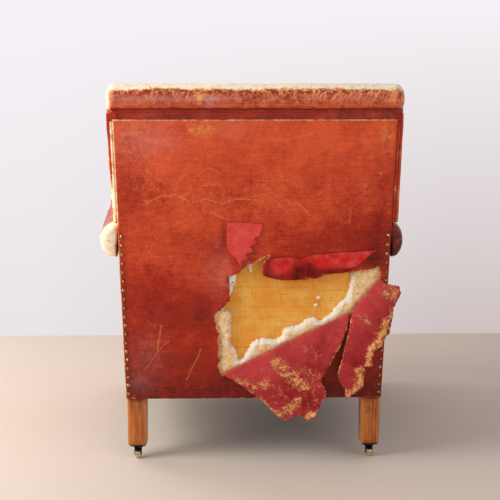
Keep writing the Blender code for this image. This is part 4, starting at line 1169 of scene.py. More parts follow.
def scrollSection(look):
    turn = np.radians(np.linspace(90, 216, 46))[:-1]
    power = look["square"]
    square = (np.abs(np.cos(turn)) ** power + np.abs(np.sin(turn)) ** power) ** (-1 / power)
    rear = np.column_stack([look["y"] + look["deep"] * square * np.cos(turn),
                            look["bulgeZ"] + look["bulgeHigh"] * square * np.sin(turn)])
    turn = np.radians(np.linspace(-90, 90, 52))[1:-1]
    front = np.column_stack(
        [look["y"] + look["deep"] * np.cos(turn), look["z"] + look["high"] * np.sin(turn)])
    tuck = resample(scrollTuck, 0.0011)
    return np.vstack([rear[rear[:, 1] > 0.8125], tuck, front])


def makeScroll(look):
    body = np.linspace(look["endRun"], look["half"], look["stations"] // 2)[1:]
    along = np.concatenate([(1 - np.cos(np.linspace(0.02, math.pi / 2, 24))) * look["endRun"], body])
    toTip = 1 - np.minimum(along / look["endRun"], 1)
    size = (1 - toTip ** look["round"]) ** (1 / look["round"])
    xs = np.concatenate([-(look["half"] - along), (look["half"] - along)[::-1][1:]])
    sizes = np.concatenate([size, size[::-1][1:]])[:, None]
    section = scrollSection(look)
    middle = np.array([look["y"], look["z"] + 0.003])
    away = section - middle
    outward = unit(away)
    xGrid, around = np.meshgrid(xs, np.arctan2(away[:, 1], -away[:, 0]), indexing="ij")
    spots = np.column_stack([xGrid.ravel(), 0.05 * np.cos(around).ravel(), 0.05 * np.sin(around).ravel()])
    swell = 0.0014 * rough(spots, 0.1, 3, 2) + 0.0006 * rough(spots, 0.022, 7) - 0.0006
    folds = spots * np.array([1.0, 0.35, 0.35])
    swell += 0.0008 * rough(folds, 0.014, 11) * (0.35 + ease(spots[:, 0], 0.12, 0.3))
    fromEnd = look["half"] - np.abs(xGrid)
    gather = np.sin(look["gathers"] * around + 1.5 * np.sin(3 * around) + 2 * np.sign(xGrid))
    gather = 0.0016 * gather * near(fromEnd - 0.01, 0.016)
    lift = (swell.reshape(xGrid.shape) + gather) * np.minimum(1, sizes * 1.2)
    y = middle[0] + away[:, 0] * sizes + outward[:, 0] * lift
    z = middle[1] + away[:, 1] * sizes + outward[:, 1] * lift
    x = xGrid - np.sign(xGrid) * 0.006 * near(sizes, 0.35)
    piece = skinRings("top_scroll_hide", np.stack([x, y, z], axis=2))
    points = pointsOf(piece)
    x, y, z = points.T
    rear = ease(-(y - look["y"]), -0.03, 0.015)
    toEnd = look["half"] - np.abs(x)
    ragged = rough(points, 0.03, 4)
    fray = rough(points, 0.009, 5, 2)
    edge = look["wornZ"] + 0.003 * ragged + 0.0026 * fray
    edge -= 0.006 * ease(np.abs(x), 0.2, 0.31) * (0.5 + ragged)
    foot = z - look["footZ"]
    bulge = ease(foot, 0, 0.0035)
    fine = rough(points, 0.0045, 15, 2)
    under = ease(z - look["dirtZ"], 0, 0.008) * rear
    worn = 1.1 * ease(z - edge, -0.0055, 0.005) * (0.75 + 0.25 * rear) + bulge * (0.3 + 0.18 * fine)
    worn += under * (0.3 * ease(fine, 0.05, 0.35) - 0.1) * (0.6 + 0.4 * ease(x, -0.05, 0.12))
    spotX, spotZ = look["rubbed"]
    worn += 0.42 * near(x - spotX, 0.012) * near(z - spotZ, 0.01)
    # at the ends: the left one pale as a painted highlight, the right one worn tan
    tips = ease(-toEnd, -0.018, -0.007) * ease(z, 0.8, 0.812)
    worn = np.maximum(worn, np.where(x < 0, 1.15 + 0.3 * fray, 0.58 + 0.5 * fray) * tips)
    grime = under * (0.6 + 0.9 * ragged - 0.8 * fine + 0.15 * ease(x, 0, 0.2)) * (1 - tips)
    # painted shade along the foot of the roll and in the tuck below it
    grime += 0.55 * near(foot, 0.0018) + 0.05 * ease(-foot, 0.001, 0.005)
    grime += 0.35 * tips * ease(x, 0, 0.1) * ease(fray, 0, 0.4)
    # a painted sheen band along the roll, stronger at its left; the scuff added below is a pale rubbed mark
    bloom = near(z - look["bloomZ"], 0.0065) * rear * (0.18 + 0.42 * ease(-x, -0.02, 0.1) + 0.3 * ragged)
    spotX, spotZ = look["scuffed"]
    scuff = np.exp(-((x - spotX) / 0.01) ** 4 - ((z - spotZ) / 0.011) ** 4)
    bloom += 1.6 * scuff * ease(fine + 0.6 * fray, -0.35, 0.15)
    worn -= 0.5 * scuff
    # tone: a lighter band at paleZ, and darker below the foot as painted shade in the tuck
    tone = 0.16 + 0.6 * near(z - look["paleZ"], 0.0045) - 0.22 * ease(-foot, -0.0035, 0.0015) + 0.3 * ragged
    scratch = 0.42 + 0.85 * ease(x, 0.06, 0.16) + 0.5 * rough(points, 0.05, 22, 2)
    scratch *= rear * ease(z, 0.806, 0.836) * (1 - 0.5 * ease(-toEnd, -0.016, -0.004))
    paint(piece, worn=worn, grime=grime, tone=tone, crackle=0.15 + 0.35 * ease(x, 0.1, 0.25), bloom=bloom,
          scratch=scratch)
    return piece


topScroll = fit(makeScroll(scroll), ["top_scroll"], [glazed])
print("top scroll:", len(topScroll.data.polygons), "faces")


# stuffed pieces: each starts from its CAD solid, a little smaller, and swells as cloth under light pressure
def puff(piece, look, hold=None):
    piece.data.remesh_voxel_size = look["voxel"]
    bpy.context.view_layer.objects.active = piece
    bpy.ops.object.voxel_remesh()
    smooth = piece.modifiers.new("smooth", "SMOOTH")
    smooth.factor, smooth.iterations = 0.5, look.get("smooth", 4)
    bake(piece)
    points = pointsOf(piece)
    start = points - normalsOf(piece) * look["shrink"]
    setPoints(piece, start)
    cloth = piece.modifiers.new("swell", "CLOTH")
    cloth.settings.quality = 5
    cloth.settings.mass = 0.35
    cloth.settings.bending_stiffness = look.get("stiff", 0.6)
    cloth.settings.use_pressure = True
    cloth.settings.uniform_pressure_force = look["pressure"]
    cloth.settings.effector_weights.gravity = 0
    for frameNumber in range(1, 21):
        scene.frame_set(frameNumber)
    graph = bpy.context.evaluated_depsgraph_get()
    moved = rowsOf(piece.evaluated_get(graph).to_mesh(), "co")
    piece.evaluated_get(graph).to_mesh_clear()
    piece.modifiers.clear()
    scene.frame_set(1)
    run = moved - start
    far = np.linalg.norm(run, axis=1)
    run *= (np.minimum(far, look["cap"]) / np.maximum(far, 1e-9))[:, None]
    if hold is not None:
        run *= hold(start)[:, None]
    setPoints(piece, start + run)
    fine = piece.modifiers.new("fine", "SUBSURF")
    fine.levels = fine.render_levels = look.get("fine", 1)
    bake(piece)
    piece.data.shade_smooth()
    return piece


def wrinkle(piece, amount, size, seed, mask):
    points = pointsOf(piece)
    value = rough(points, size, seed) * amount * mask(points)
    setPoints(piece, points + normalsOf(piece) * value[:, None])


def makeWelt(name, path, radius, worn, seed=5, tone=0.0, closed=False):
    welt = tube(name, path, radius, closed=closed, material=hide)
    paint(welt, worn=worn + 0.35 * rough(pointsOf(welt), 0.03, seed), tone=tone, grime=0.1, crackle=0.3)
    return welt


def surfaceOf(piece):
    points = [Vector(p) for p in pointsOf(piece)]
    return BVHTree.FromPolygons(points, [tuple(f.vertices) for f in piece.data.polygons])


# inside back: narrow between the arms, wide above them, its sides wrapped round the posts and piped
insideBack = {
    "voxel": 0.0078, "smooth": 6, "shrink": 0.003, "cap": 0.0055, "pressure": 3.5,
    "betweenArms": 0.256, "top": 0.78,
}


def backHold(points):
    rear = points[:, 1] - rakedY(points[:, 2])
    return ease(rear, 0.045, 0.065) * 0.999 + 0.0001


def makeInsideBack(look):
    piece = puff(copyNode("inside_back", "inside_back_hide"), look, backHold)
    wrinkle(piece, 0.0022, 0.055, 3, lambda p: ease(p[:, 1] - rakedY(p[:, 2]), 0.05, 0.09))
    points = pointsOf(piece)
    x, y, z = points.T
    depth = y - rakedY(z)
    reach = np.abs(x[(z < 0.54) & (depth > 0.075)]).max()  # meet the arms at the sides and the roll above
    widen = ease(np.abs(x), 0.17, reach - 0.006) * ease(-z, -0.562, -0.546) * ease(depth, 0.045, 0.065)
    x = x + np.sign(x) * max(0, look["betweenArms"] - reach) * widen
    z = z + (look["top"] - z.max()) * ease(z, 0.73, 0.762) * ease(0.118 - depth, 0, 0.035)
    points = np.column_stack([x, y, z])
    setPoints(piece, points)
    high = ease(z, 0.6, 0.77)
    worn = 0.55 * high * ease(depth, 0.04, 0.09) + 0.25 * near(z - 0.6, 0.05) * ease(np.abs(x), 0.2, 0.3)
    worn += 0.25 * rough(points, 0.09, 4) * ease(depth, 0.05, 0.08)
    # at the sides above the arms: the left side pale as a painted highlight, the right side lighter
    behind = ease(-depth, -0.075, -0.045) * ease(z, 0.56, 0.58)
    worn += behind * np.where(
        x < 0, 0.75 + 0.6 * rough(points, 0.05, 14), 0.1 + 0.3 * rough(points, 0.03, 15))
    tone = 0.25 - 0.5 * ease(-z, -0.6, -0.4) + 0.3 * rough(points, 0.08, 2) + 0.5 * behind * (x > 0)
    grime = 0.35 * ease(-z, -0.52, -0.42) + 0.2 * np.abs(rough(points, 0.05, 6)) * (1 - behind)
    paint(piece, worn=worn, tone=tone, grime=grime, crackle=0.35 + 0.3 * high)
    return piece


backPad = fit(makeInsideBack(insideBack), ["inside_back"], [hide])
print("inside back:", len(backPad.data.polygons), "faces")

# arms: a roll over the arm rail with the inside arm hanging from it
armLook = {"voxel": 0.0065, "smooth": 5, "shrink": 0.0022, "cap": 0.004, "pressure": 3.5}


def makeArm(side, word, look):
    piece = copyNode("arm_pad_" + word, "arm_hide_" + word)

    def hold(points):
        rollSide = np.abs(points[:, 0])
        centre = rollX(points[:, 1])
        outerFace = ease(rollSide - centre, -0.012, 0.004) * ease(-points[:, 2], -0.486, -0.478)
        return 1 - outerFace
    puff(piece, look, hold)
    wrinkle(piece, 0.0016, 0.045, 8 + side, lambda p: ease(p[:, 2], 0.36, 0.45))
    points = pointsOf(piece)
    x, y, z = points.T
    centre = rollX(y)
    if side > 0:
        pressed = 0.3 * ease(-y, -0.1, 0.22) * ease(z, 0.465, 0.49)
        x = np.where(x > centre, x - pressed * (x - centre), x)
        points = np.column_stack([x, y, z])
        setPoints(piece, points)
    height = (z - chair["rollZ"]) / chair["rollR"]
    worn = 0.75 * ease(height, 0.35, 0.95) * (0.6 + 0.5 * ease(y, -0.1, 0.3))
    worn += 0.2 * rough(points, 0.07, 3)
    outer = ease(np.abs(x) - centre, -0.02, 0.02)
    rearEnd = ease(-y, 0.14, 0.3) * outer
    grime = 0.3 * ease(-height, 0.2, 1.2) + 0.35 * ease(y, 0.25, 0.38) * np.abs(rough(points, 0.03, 7))
    tone = -0.1 * side - 0.35 * ease(-height, -0.2, 1) + 0.3 * rough(points, 0.06, 9)
    if side < 0:  # the left arm's rear end: painted white as a highlight, and mauve above it as painted shade
        white = np.maximum(
            ease(-y, 0.27 + 0.02 * rough(points, 0.02, 6, 2), 0.3), ease(-height, -0.2, 0)) * rearEnd
        worn = worn * (1 - rearEnd) + rearEnd * 0.1 + 1.2 * white
        grime = grime * (1 - rearEnd)
        bloom = 0.5 * rearEnd * (1 - white)
    else:  # the right one is dark, and pressed in
        worn = worn * (1 - rearEnd)
        grime = grime + 0.38 * rearEnd
        bloom = 0.1 * rearEnd
        tone = tone - 0.45 * rearEnd
    paint(piece, worn=worn, tone=tone, grime=grime, bloom=bloom, crackle=0.4)
    return piece


for side, word in sides:
    arm = fit(makeArm(side, word, armLook), ["arm_pad_" + word], [hide])
    print("arm", word, len(arm.data.polygons), "faces")

# seat cushion: boxed, crowned, piped round its upper and lower edges, hollowed where people sit
cushion = {"voxel": 0.0085, "smooth": 3, "shrink": 0.004, "cap": 0.01, "pressure": 4.0, "pipe": 0.0042,
           "hollow": 0.01}


def cushionRing(tree, z, count=260):
    low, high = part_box("seat_cushion")
    middle = (low + high) / 2
    path = []
    for i in range(count):
        angle = 2 * math.pi * i / count
        away = Vector((math.cos(angle), math.sin(angle), 0))
        place = tree.ray_cast(Vector((middle.x, middle.y, z)) + away * 0.6, -away)[0]
        if place:
            path.append(tuple(place))
    return smoothPath(resample(path, 0.006, closed=True), 3, closed=True)


def makeCushion(look):
    low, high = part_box("seat_cushion")
    piece = puff(copyNode("seat_cushion", "seat_cushion_hide"), look,
                 lambda p: ease(p[:, 2], low.z + 0.004, low.z + 0.03) * 0.95 + 0.05)
    points = pointsOf(piece)
    x, y, z = points.T
    upper = ease(z, high.z - 0.03, high.z - 0.004)
    seat = np.exp(-((x / 0.17) ** 2) - (((y - 0.1) / 0.19) ** 2))
    z = z - look["hollow"] * seat * upper
    folds = rough(points * np.array([0.4, 1, 1]), 0.03, 5)
    z += upper * (0.0035 * rough(points, 0.075, 3) + 0.0012 * folds)
    z = np.clip(z, low.z, high.z + 0.004)
    setPoints(piece, np.column_stack([x, y, z]))
    points = pointsOf(piece)
    worn = 0.45 * upper * seat + 0.55 * ease(y, 0.36, 0.395) * upper + 0.25 * rough(points, 0.06, 7)
    grime = 0.21 * (1 - upper) + 0.3 * np.abs(rough(points, 0.05, 8)) * upper
    tone = 0.25 * upper - 0.3 * (1 - upper) + 0.25 * rough(points, 0.07, 4)
    paint(piece, worn=worn, grime=grime, tone=tone, crackle=0.45 * upper + 0.2)
    piece.data.materials.append(hide)
    tree = surfaceOf(piece)
    welts = []
    for number, level in enumerate((low.z + 0.01, high.z - 0.012)):
        welts.append(makeWelt("seat_cushion_welt_" + ("lower", "upper")[number], cushionRing(tree, level),
                              look["pipe"], 0.45 + 0.2 * number, 3 + number, -0.1, closed=True))
    return piece, welts


seatCushion, welts = makeCushion(cushion)
fit(seatCushion, ["seat_cushion"])
for welt in welts:
    fit(welt)
print("seat cushion:", len(seatCushion.data.polygons), "faces")

# outside arms: one hide a side, from the outside back to the facing, turned under at the hem
outsideArm = {"hemTurn": 0.008, "wave": 0.0014, "columns": 130, "rows": 60}


def makeOutsideArm(side, word, look):
    radius, hem = chair["foldRadius"], chair["hemZ"]
    low = hem - radius * (math.pi / 2 - 1) - look["hemTurn"]
    levels = np.linspace(low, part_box("outside_arm_left")[1].z, look["rows"])
    levels = np.sort(np.concatenate([levels, np.linspace(hem - 0.002, hem + radius, 8)]))
    z, share, faces = gridOf(levels, np.linspace(0, 1, look["columns"]))
    out, deep = foldOver(hem + radius - z, radius)
    z = hem + radius - out
    rear = rakedY(z) + chair["hide"] + 0.0006
    y = rear + share * (chair["frontY"] - rear)
    spots = places(side * 0.3, y, z)
    slack = ease(share * 0.7, 0, 0.03) * ease((1 - share) * 0.7, 0, 0.03) * ease(z, hem, 0.2)
    slack = slack * ease(0.4725 - z, 0, 0.02)
    swell = 0.7 + rough(spots, 0.13, 5 + side, 2) + 0.35 * rough(spots, 0.035, 9)
    x = sideX(y, z) + look["wave"] * swell * slack - deep
    piece = thickSheet("outside_arm_hide_" + word, places(side * x, y, z), faces, chair["hide"],
                       (side, 0, 0), (hide, flesh, fibre))
    tone = 0.35 * ease(z, 0.2, 0.45) - 0.4 * (1 - ease(z, 0.14, 0.3)) + 0.25 * rough(spots, 0.1, 3)
    worn = 0.35 * near(z - hem, 0.004) + 0.22 * rough(spots, 0.08, 6)
    worn = worn + 0.3 * ease(y, 0.33, 0.385) * ease(z, 0.25, 0.45)
    grime = 0.35 * (1 - ease(z, 0.15, 0.22)) + 0.25 * np.abs(rough(spots, 0.06, 12))
    paint(piece, tone=tone, worn=worn, grime=grime, crackle=0.35 + 0.3 * rough(spots, 0.12, 15, 2))
    return piece


for side, word in sides:
    fit(makeOutsideArm(side, word, outsideArm), ["outside_arm_" + word])
print("outside arms made")

# arm facings: the scroll shape at the front of each arm, lightly stuffed and piped round its edge
facing = {"edgeY": 0.3985, "crown": 0.0055, "round": 0.006, "pipe": 0.0034}


def facingOutline():
    centre, radius, low = rollX(chair["frontY"]), chair["rollR"], chair["hemZ"]
    turn = np.radians(np.linspace(200, -84, 60))
    arc = np.column_stack([centre + radius * np.cos(turn), chair["rollZ"] + radius * np.sin(turn)])
    inner, outer = centre - chair["armIn"], chair["frontX"]
    foot = [(inner, low), (inner, chair["rollZ"] - 0.026)]
    return np.vstack([foot, arc, [(outer, chair["rollZ"] - radius - 0.005), (outer, low)]])


def makeFacing(side, word, look):
    outline = resample(facingOutline(), 0.004, closed=True)
    _, faces, spots, toEdge = cutSheet(outline, 0.0042, 0.4)
    spots[:, 0] *= side
    x, _, z = spots.T
    rise = look["crown"] * ease(toEdge, 0, 0.022)
    rise = rise + 0.0007 * rough(spots, 0.03, 4 + side) * ease(toEdge, 0, 0.01)
    edge = look["round"] * (1 - np.sqrt(np.clip(1 - (1 - np.minimum(toEdge / look["round"], 1)) ** 2, 0, 1)))
    front, back = places(x, look["edgeY"] + rise - edge, z), places(x, chair["frontY"] + 0.0004, z)
    piece = closedSheet("arm_facing_hide_" + word, front, back, faces, (hide,))
    worn = 0.35 * ease(z, 0.46, 0.56) + 0.3 * rough(spots, 0.05, 8) + 0.3 * near(toEdge, 0.004)
    tone = 0.2 * ease(z, 0.3, 0.5) - 0.3 * (1 - ease(z, 0.15, 0.3)) + 0.25 * rough(spots, 0.05, 2)
    grime = 0.3 * (1 - ease(z, 0.15, 0.22)) + 0.2 * np.abs(rough(spots, 0.04, 3))
    paint(piece, worn=worn, tone=tone, grime=grime, crackle=0.4)
    x, z = resample(facingOutline()[::-1], 0.006).T
    path = smoothPath(places(side * x, look["edgeY"] - 0.0005, z), 2)
    path[:, 0] += (side * rollX(chair["frontY"]) - path[:, 0]) * 0.03
    return piece, makeWelt("arm_facing_welt_" + word, path, look["pipe"], 0.5)


for side, word in sides:
    pad, welt = makeFacing(side, word, facing)
    fit(pad, ["arm_facing_" + word])
    fit(welt)
print("arm facings made")

# front border: hide over the front rail, with a welt along its upper edge
border = {"wave": 0.0022, "pipe": 0.0036, "hemTurn": 0.006}


def makeBorder(look):
    low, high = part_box("front_border")
    radius = chair["foldRadius"]
    levels = np.concatenate([np.linspace(low.z - radius * 0.57 - look["hemTurn"], low.z + radius, 12),
                             np.linspace(low.z + radius, high.z, 44)[1:]])
    z, x, faces = gridOf(levels, np.linspace(low.x + 0.0005, high.x - 0.0005, 120))
    out, deep = foldOver(low.z + radius - z, radius)
    z = low.z + radius - out
    spots = places(x, 0.385, z)
    slack = ease(high.x - np.abs(x), 0, 0.03) * ease(z, low.z, low.z + 0.04) * ease(high.z - z, 0, 0.03)
    lift = look["wave"] * (0.8 + rough(spots, 0.1, 3, 2) + 0.3 * rough(spots, 0.03, 6)) * slack
    piece = thickSheet("front_border_hide", places(x, high.y + lift - deep, z), faces, chair["hide"],
                       (0, 1, 0), (hide, flesh, fibre))
    tone = 0.2 * ease(z, 0.2, 0.34) - 0.3 * (1 - ease(z, 0.15, 0.25)) + 0.25 * rough(spots, 0.09, 2)
    worn = 0.4 * ease(z, 0.3, 0.345) + 0.25 * rough(spots, 0.07, 5) + 0.35 * near(z - low.z, 0.003)
    grime = 0.35 * (1 - ease(z, 0.15, 0.2)) + 0.2 * np.abs(rough(spots, 0.05, 9))
    paint(piece, worn=worn, tone=tone, grime=grime, crackle=0.45)
    path = places(np.linspace(low.x + 0.002, high.x - 0.002, 90), high.y + 0.001, high.z - 0.004)
    return piece, makeWelt("front_border_welt", path, look["pipe"], 0.55)


borderHide, borderWelt = makeBorder(border)
fit(borderHide, ["front_border"])
fit(borderWelt)
print("front border made")

# piping down each side of the back, where its side band meets the front cover
sidePiping = {
    "pipe": 0.0034, "cord": 0.0026, "low": 0.56, "high": 0.781, "deep": 0.056, "top": 0.797,
    "depth": 0.052, "flare": 0.0112, "lineLeft": (0.307, 0.3155), "lineRight": (0.3128, 0.3148),
}


def makeSidePiping(side, word, look):
    tree = surfaceOf(backPad)
    path = []
    for z in np.linspace(look["low"] + 0.012, look["high"] - 0.009, 50):
        depth = look["depth"] + look["flare"] * ease(z, 0.6, 0.74)
        place = tree.ray_cast(Vector((side * 0.6, rakedY(z) + depth, z)), Vector((-side, 0, 0)))[0]
        if place:
            path.append(tuple(place))
    levels = np.linspace(look["low"], look["top"], 96)
    line = np.interp(levels, (look["low"], look["high"]), look["lineLeft" if side < 0 else "lineRight"])
    rings = []
    for z, outer in zip(levels, line):
        inner, front = edgeX(z) - 0.012, rakedY(z) + 0.0035
        outer += 0.0008 * noise.noise(Vector((side, 0.0, z / 0.03)))
        middle = side * (inner + outer) / 2
        rings.append(roundedRing(middle, front + look["deep"] / 2, outer - inner, look["deep"], z, 0.0045))
    band = skinRings("band", rings)
    behind = [(side * (edgeX(z) + 0.0026), rakedY(z) + 0.003, z) for z in levels if z < look["high"]]
    outer = tube("outer", smoothPath(resample(path, 0.006), 3), look["pipe"])
    inner = tube("inner", behind, look["cord"])
    # the left inner cord is pale as a painted highlight; the right one only a little worn
    for welt, worn in ((outer, 0.42), (inner, 0.95 if side < 0 else 0.15)):
        wander = rough(pointsOf(welt), 0.03, 5 + side)
        paint(welt, worn=worn + 0.45 * wander, tone=0.35 + 0.4 * wander, grime=0.0, crackle=0.3)
    points = pointsOf(band)
    past = np.abs(points[:, 0]) - edgeX(points[:, 2])
    edge = ease(past, 0.006, 0.009) if side > 0 else 1 - ease(points[:, 2], 0.62, 0.68)
    wander = rough(points, 0.03, 8 + side)
    # the left band's lower part is pale as a painted highlight; the right band has painted shade in its
    # groove
    paint(band, worn=(0.3 if side > 0 else 1.0) * edge + 0.3 * wander, tone=0.1 + 0.5 * edge, crackle=0.3,
          grime=(0.55 * (1 - edge) if side > 0 else 0.0))
    for part in (outer, inner, band):
        part.data.materials.append(hide)
    return join("inside_back_welt_" + word, [outer, inner, band])


for side, word in sides:
    fit(makeSidePiping(side, word, sidePiping))

# legs: square, tapering down to the castor, corners rounded by wear; the rear ones run up as the posts
legLook = {
    "corner": 0.0028, "step": 0.009, "foot": 0.043,
    "postInset": 0.0065, "postX": 0.042, "postY": 0.04, "postDepth": 0.0146, "postTop": 0.7757,
}


def makeLeg(end, word, sections, look):
    rings = []  # each is a middle, a width, a depth and a height
    for c0, c1 in zip(sections, sections[1:]):
        count = max(1, int(abs(c1[4] - c0[4]) / look["step"]))
        rings += [[a + (b - a) * i / count for a, b in zip(c0, c1)] for i in range(count)]
    x, y, wide, deep, z = rings[0]
    pulls = ((0.004, 0), (0.0012, 0.0008), (0, 0.0024))
    soft = [[x, y, wide - pull, deep - pull, z + up] for pull, up in pulls]
    rings = soft + rings[1:] + [list(sections[-1])]
    corners = [roundedRing(*ring, look["corner"]) for ring in rings]
    piece = skinRings(end + "_leg_beech_" + word, corners, material=legWood)
    points = pointsOf(piece)
    middle = [np.interp(points[:, 2], [r[4] for r in rings], [r[k] for r in rings]) for k in range(4)]
    inset = [middle[k + 2] / 2 - np.abs(points[:, k] - middle[k]) for k in (0, 1)]
    corner = near(np.maximum(*inset), 0.0035)
    low = near(points[:, 2] - z, 0.006)
    grime = 0.55 * low * (0.5 + np.abs(rough(points, 0.02, 4))) + 0.35 * ease(points[:, 2], 0.125, 0.147)
    paint(piece, worn=0.75 * corner + 0.3 * low * corner, grime=grime * (1 - 0.7 * corner))
    fit(piece, [end + "_leg_" + word])


def makeLegs(look):
    foot, postX, postY = look["foot"], look["postX"], look["postY"]
    for side, word in sides:
        low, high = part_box("front_leg_" + word)
        cx, cy, head = (low.x + high.x) / 2, (low.y + high.y) / 2, high.x - low.x
        sections = [(cx, cy, foot, foot, low.z)] + [(cx, cy, head, head, z) for z in (chair["hemZ"], high.z)]
        makeLeg("front", word, sections, look)
        cx, cy = side * (chair["edgeX"] - head / 2), chair["legY"] + head / 2
        shoulder = chair["hemZ"] - 2 * chair["gap"]
        sections = [(cx, cy, foot, foot, low.z), (cx, cy, head, head, shoulder)]
        for z in (shoulder + 0.0004, look["postTop"]):
            outer = edgeX(z) - look["postInset"]
            middle = rakedY(z) + look["postDepth"] + postY / 2
            sections.append((side * (outer - postX / 2), middle, postX, postY, z))
        makeLeg("rear", word, sections, look)


makeLegs(legLook)
print("legs made")

# castors: stamped plate, forged fork with its pin, and a brass wheel on its axle
castor = {"wheelR": 0.011, "wheelW": 0.012, "trail": 0.007, "cheekT": 0.002, "plate": 0.036, "screwR": 0.0026,
          "screwAt": 0.0135, "hoodR": 0.0118, "hoodT": 0.0014}
quarters = ((1, 1), (1, -1), (-1, 1), (-1, -1))


def lathe(name, profile, centre, material, axis="Z", sides=48):
    turn = 2 * np.pi * np.arange(sides) / sides
    rings = []
    for radius, along in profile:
        a, b = radius * np.cos(turn), radius * np.sin(turn)
        rings.append(places(a, b, along) if axis == "Z" else places(along, a, b))
    return skinRings(name, np.array(rings) + np.array(centre), material=material)


def softBox(name, middle, half, low, high, edge, material):
    thin = [(edge, 0.0), (0.3 * edge, 0.3 * edge), (0.0, edge)]
    levels = [(pull, low + up) for pull, up in thin] + [(pull, high - up) for pull, up in reversed(thin)]
    rings = [roundedRing(middle[0], middle[1], 2 * half - 2 * pull, 2 * half - 2 * pull, z, 2 * edge)
             for pull, z in levels]
    return skinRings(name, rings, material=material)


def makeCheek(side, hub, look):
    top = hub[2] + 0.015
    outline = [(0.0072, top), (-0.0072, top), (-0.0112, 0.014), (-0.0118, 0.0105), (-0.01, 0.007),
               (-0.007, 0.0058), (-0.004, 0.007), (-0.0022, 0.0105), (-0.0012, 0.014)]
    edge = smoothPath(resample(outline, 0.0014, closed=True), 1, closed=True)
    flat, faces, _, toEdge = cutSheet(edge, 0.0016)
    soften = 0.0005 * (1 - ease(toEdge, 0, 0.0009))
    inner = look["wheelW"] / 2 + 0.0005
    front, back = [places(hub[0] + side * x, hub[1] + look["trail"] + flat[:, 0], flat[:, 1])
                   for x in (inner + look["cheekT"] - soften, inner + soften)]
    return closedSheet("cheek", front, back, faces, (castorIron,))


def makeHood(hub, look):
    half, inner, outer = look["wheelW"] / 2 + 0.0007, look["hoodR"], look["hoodR"] + look["hoodT"]
    middle, bulge = (inner + outer) / 2 + 0.0001, half + 0.0004
    upper = [(inner, half), (middle, bulge), (outer, half)]
    outline = [(inner, -half)] + upper + [(outer, -half), (middle, -bulge)]
    rings = [[(hub[0] + along, hub[1] + radius * math.cos(angle), hub[2] + radius * math.sin(angle))
              for radius, along in outline] for angle in np.radians(np.linspace(98, 146, 14))]
    return skinRings("hood", rings, material=castorIron)


def makeCastor(word, look):
    low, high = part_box("castor_wheel_" + word)
    hub = np.array([(low.x + high.x) / 2, (low.y + high.y) / 2, (low.z + high.z) / 2])
    pinX, pinY = hub[0], hub[1] + look["trail"]
    r, w = look["wheelR"], look["wheelW"] / 2
    tyre = [(0.004, w), (0.0088, w), (0.0101, w * 0.93), (r * 0.975, w * 0.75), (r, w * 0.45)]
    rod = [(0.0019, w + 0.0024), (0.0021, w + 0.0023)]
    wholes = [[(radius, -along) for radius, along in half] + half[::-1] for half in (tyre, rod)]
    parts = [lathe("wheel", wholes[0], hub, castorBrass, "X"),
             lathe("axle", wholes[1], hub, castorBrass, "X", 24)]
    fit(join("castor_wheel_brass_" + word, parts), ["castor_wheel_" + word], body="wheel_" + word)
    crown = mm([(8.5, 24.2), (11.8, 24.6), (12.5, 25.6), (12.5, 28.8), (11.9, 29.7), (10, 30)])
    pin = [(0.004, 0.0295), (0.004, 0.033), (0.0034, 0.0335)]
    parts = [lathe("crown", crown, (pinX, pinY, 0), castorIron),
             lathe("pin", pin, (pinX, pinY, 0), castorIron, sides=24),
             makeHood(hub, look), makeCheek(1, hub, look), makeCheek(-1, hub, look)]
    fit(join("castor_fork_iron_" + word, parts), ["castor_fork_" + word], body="castor_" + word)
    lowest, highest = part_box("castor_plate_" + word)
    parts = [softBox("plate", (pinX, pinY), look["plate"] / 2, lowest.z, highest.z, 0.0007, tarnished)]
    head = [(look["screwR"], 0.0), (look["screwR"] * 0.9, -0.0006), (look["screwR"] * 0.5, -0.001)]
    for sx, sy in quarters:
        centre = (pinX + sx * look["screwAt"], pinY + sy * look["screwAt"], lowest.z)
        parts.append(lathe("screw", head, centre, castorIron, sides=16))
    fit(join("castor_plate_brass_" + word, parts), ["castor_plate_" + word])


for word in ("rear_left", "rear_right", "front_left", "front_right"):
    makeCastor(word, castor)
print("castors made")

# seat: interlaced webbing, canvas, hair stuffing, and a cambric dust cover beneath
webbing = {
    "width": 0.05, "thickness": 0.0013, "lift": 0.0009, "count": 5,
    "firstX": -0.205, "pitchX": 0.1025, "firstY": -0.165, "pitchY": 0.1125,
}


def strapTree(look):
    numbers = {"Width": look["width"], "Thickness": look["thickness"]}
    add, given, close = nodeGroup("woven_straps", numbers, strap)
    upright = add("GeometryNodeSetCurveNormal", {0: add("GeometryNodeMeshToCurve", {0: given["Geometry"]})},
                  mode="Z_UP")
    section = add("GeometryNodeCurvePrimitiveQuadrilateral",
                  {"Width": given["Width"], "Height": given["Thickness"]})
    return close(add("GeometryNodeCurveToMesh", {0: upright, 1: section, "Fill Caps": True}))


def makeWebbing(look):
    low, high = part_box("seat_webbing")
    middle = (low.z + high.z) / 2
    ways = ((low.x, high.x, look["firstX"], look["pitchX"]), (low.y, high.y, look["firstY"], look["pitchY"]))
    points, edges = [], []
    for number in range(look["count"]):
        for way, (start, end, first, pitch) in enumerate(ways):
            fixed = ways[1 - way][2] + number * ways[1 - way][3]
            steps = np.linspace(start, end, 90)
            weave = np.cos(np.pi * (steps - first) / pitch + np.pi * number) * (1, -1)[way]
            weave *= look["lift"] * ease(np.minimum(steps - start, end - steps), 0, 0.05)
            edges += [(len(points) + i, len(points) + i + 1) for i in range(len(steps) - 1)]
            points += [(fixed, step, middle + shift) if way else (step, fixed, middle + shift)
                       for step, shift in zip(steps, weave)]
    values = {"Width": look["width"], "Thickness": look["thickness"]}
    return faceOut(runNodes("seat_webbing_jute", points, edges, strapTree(look), values))


fit(makeWebbing(webbing), ["seat_webbing"])


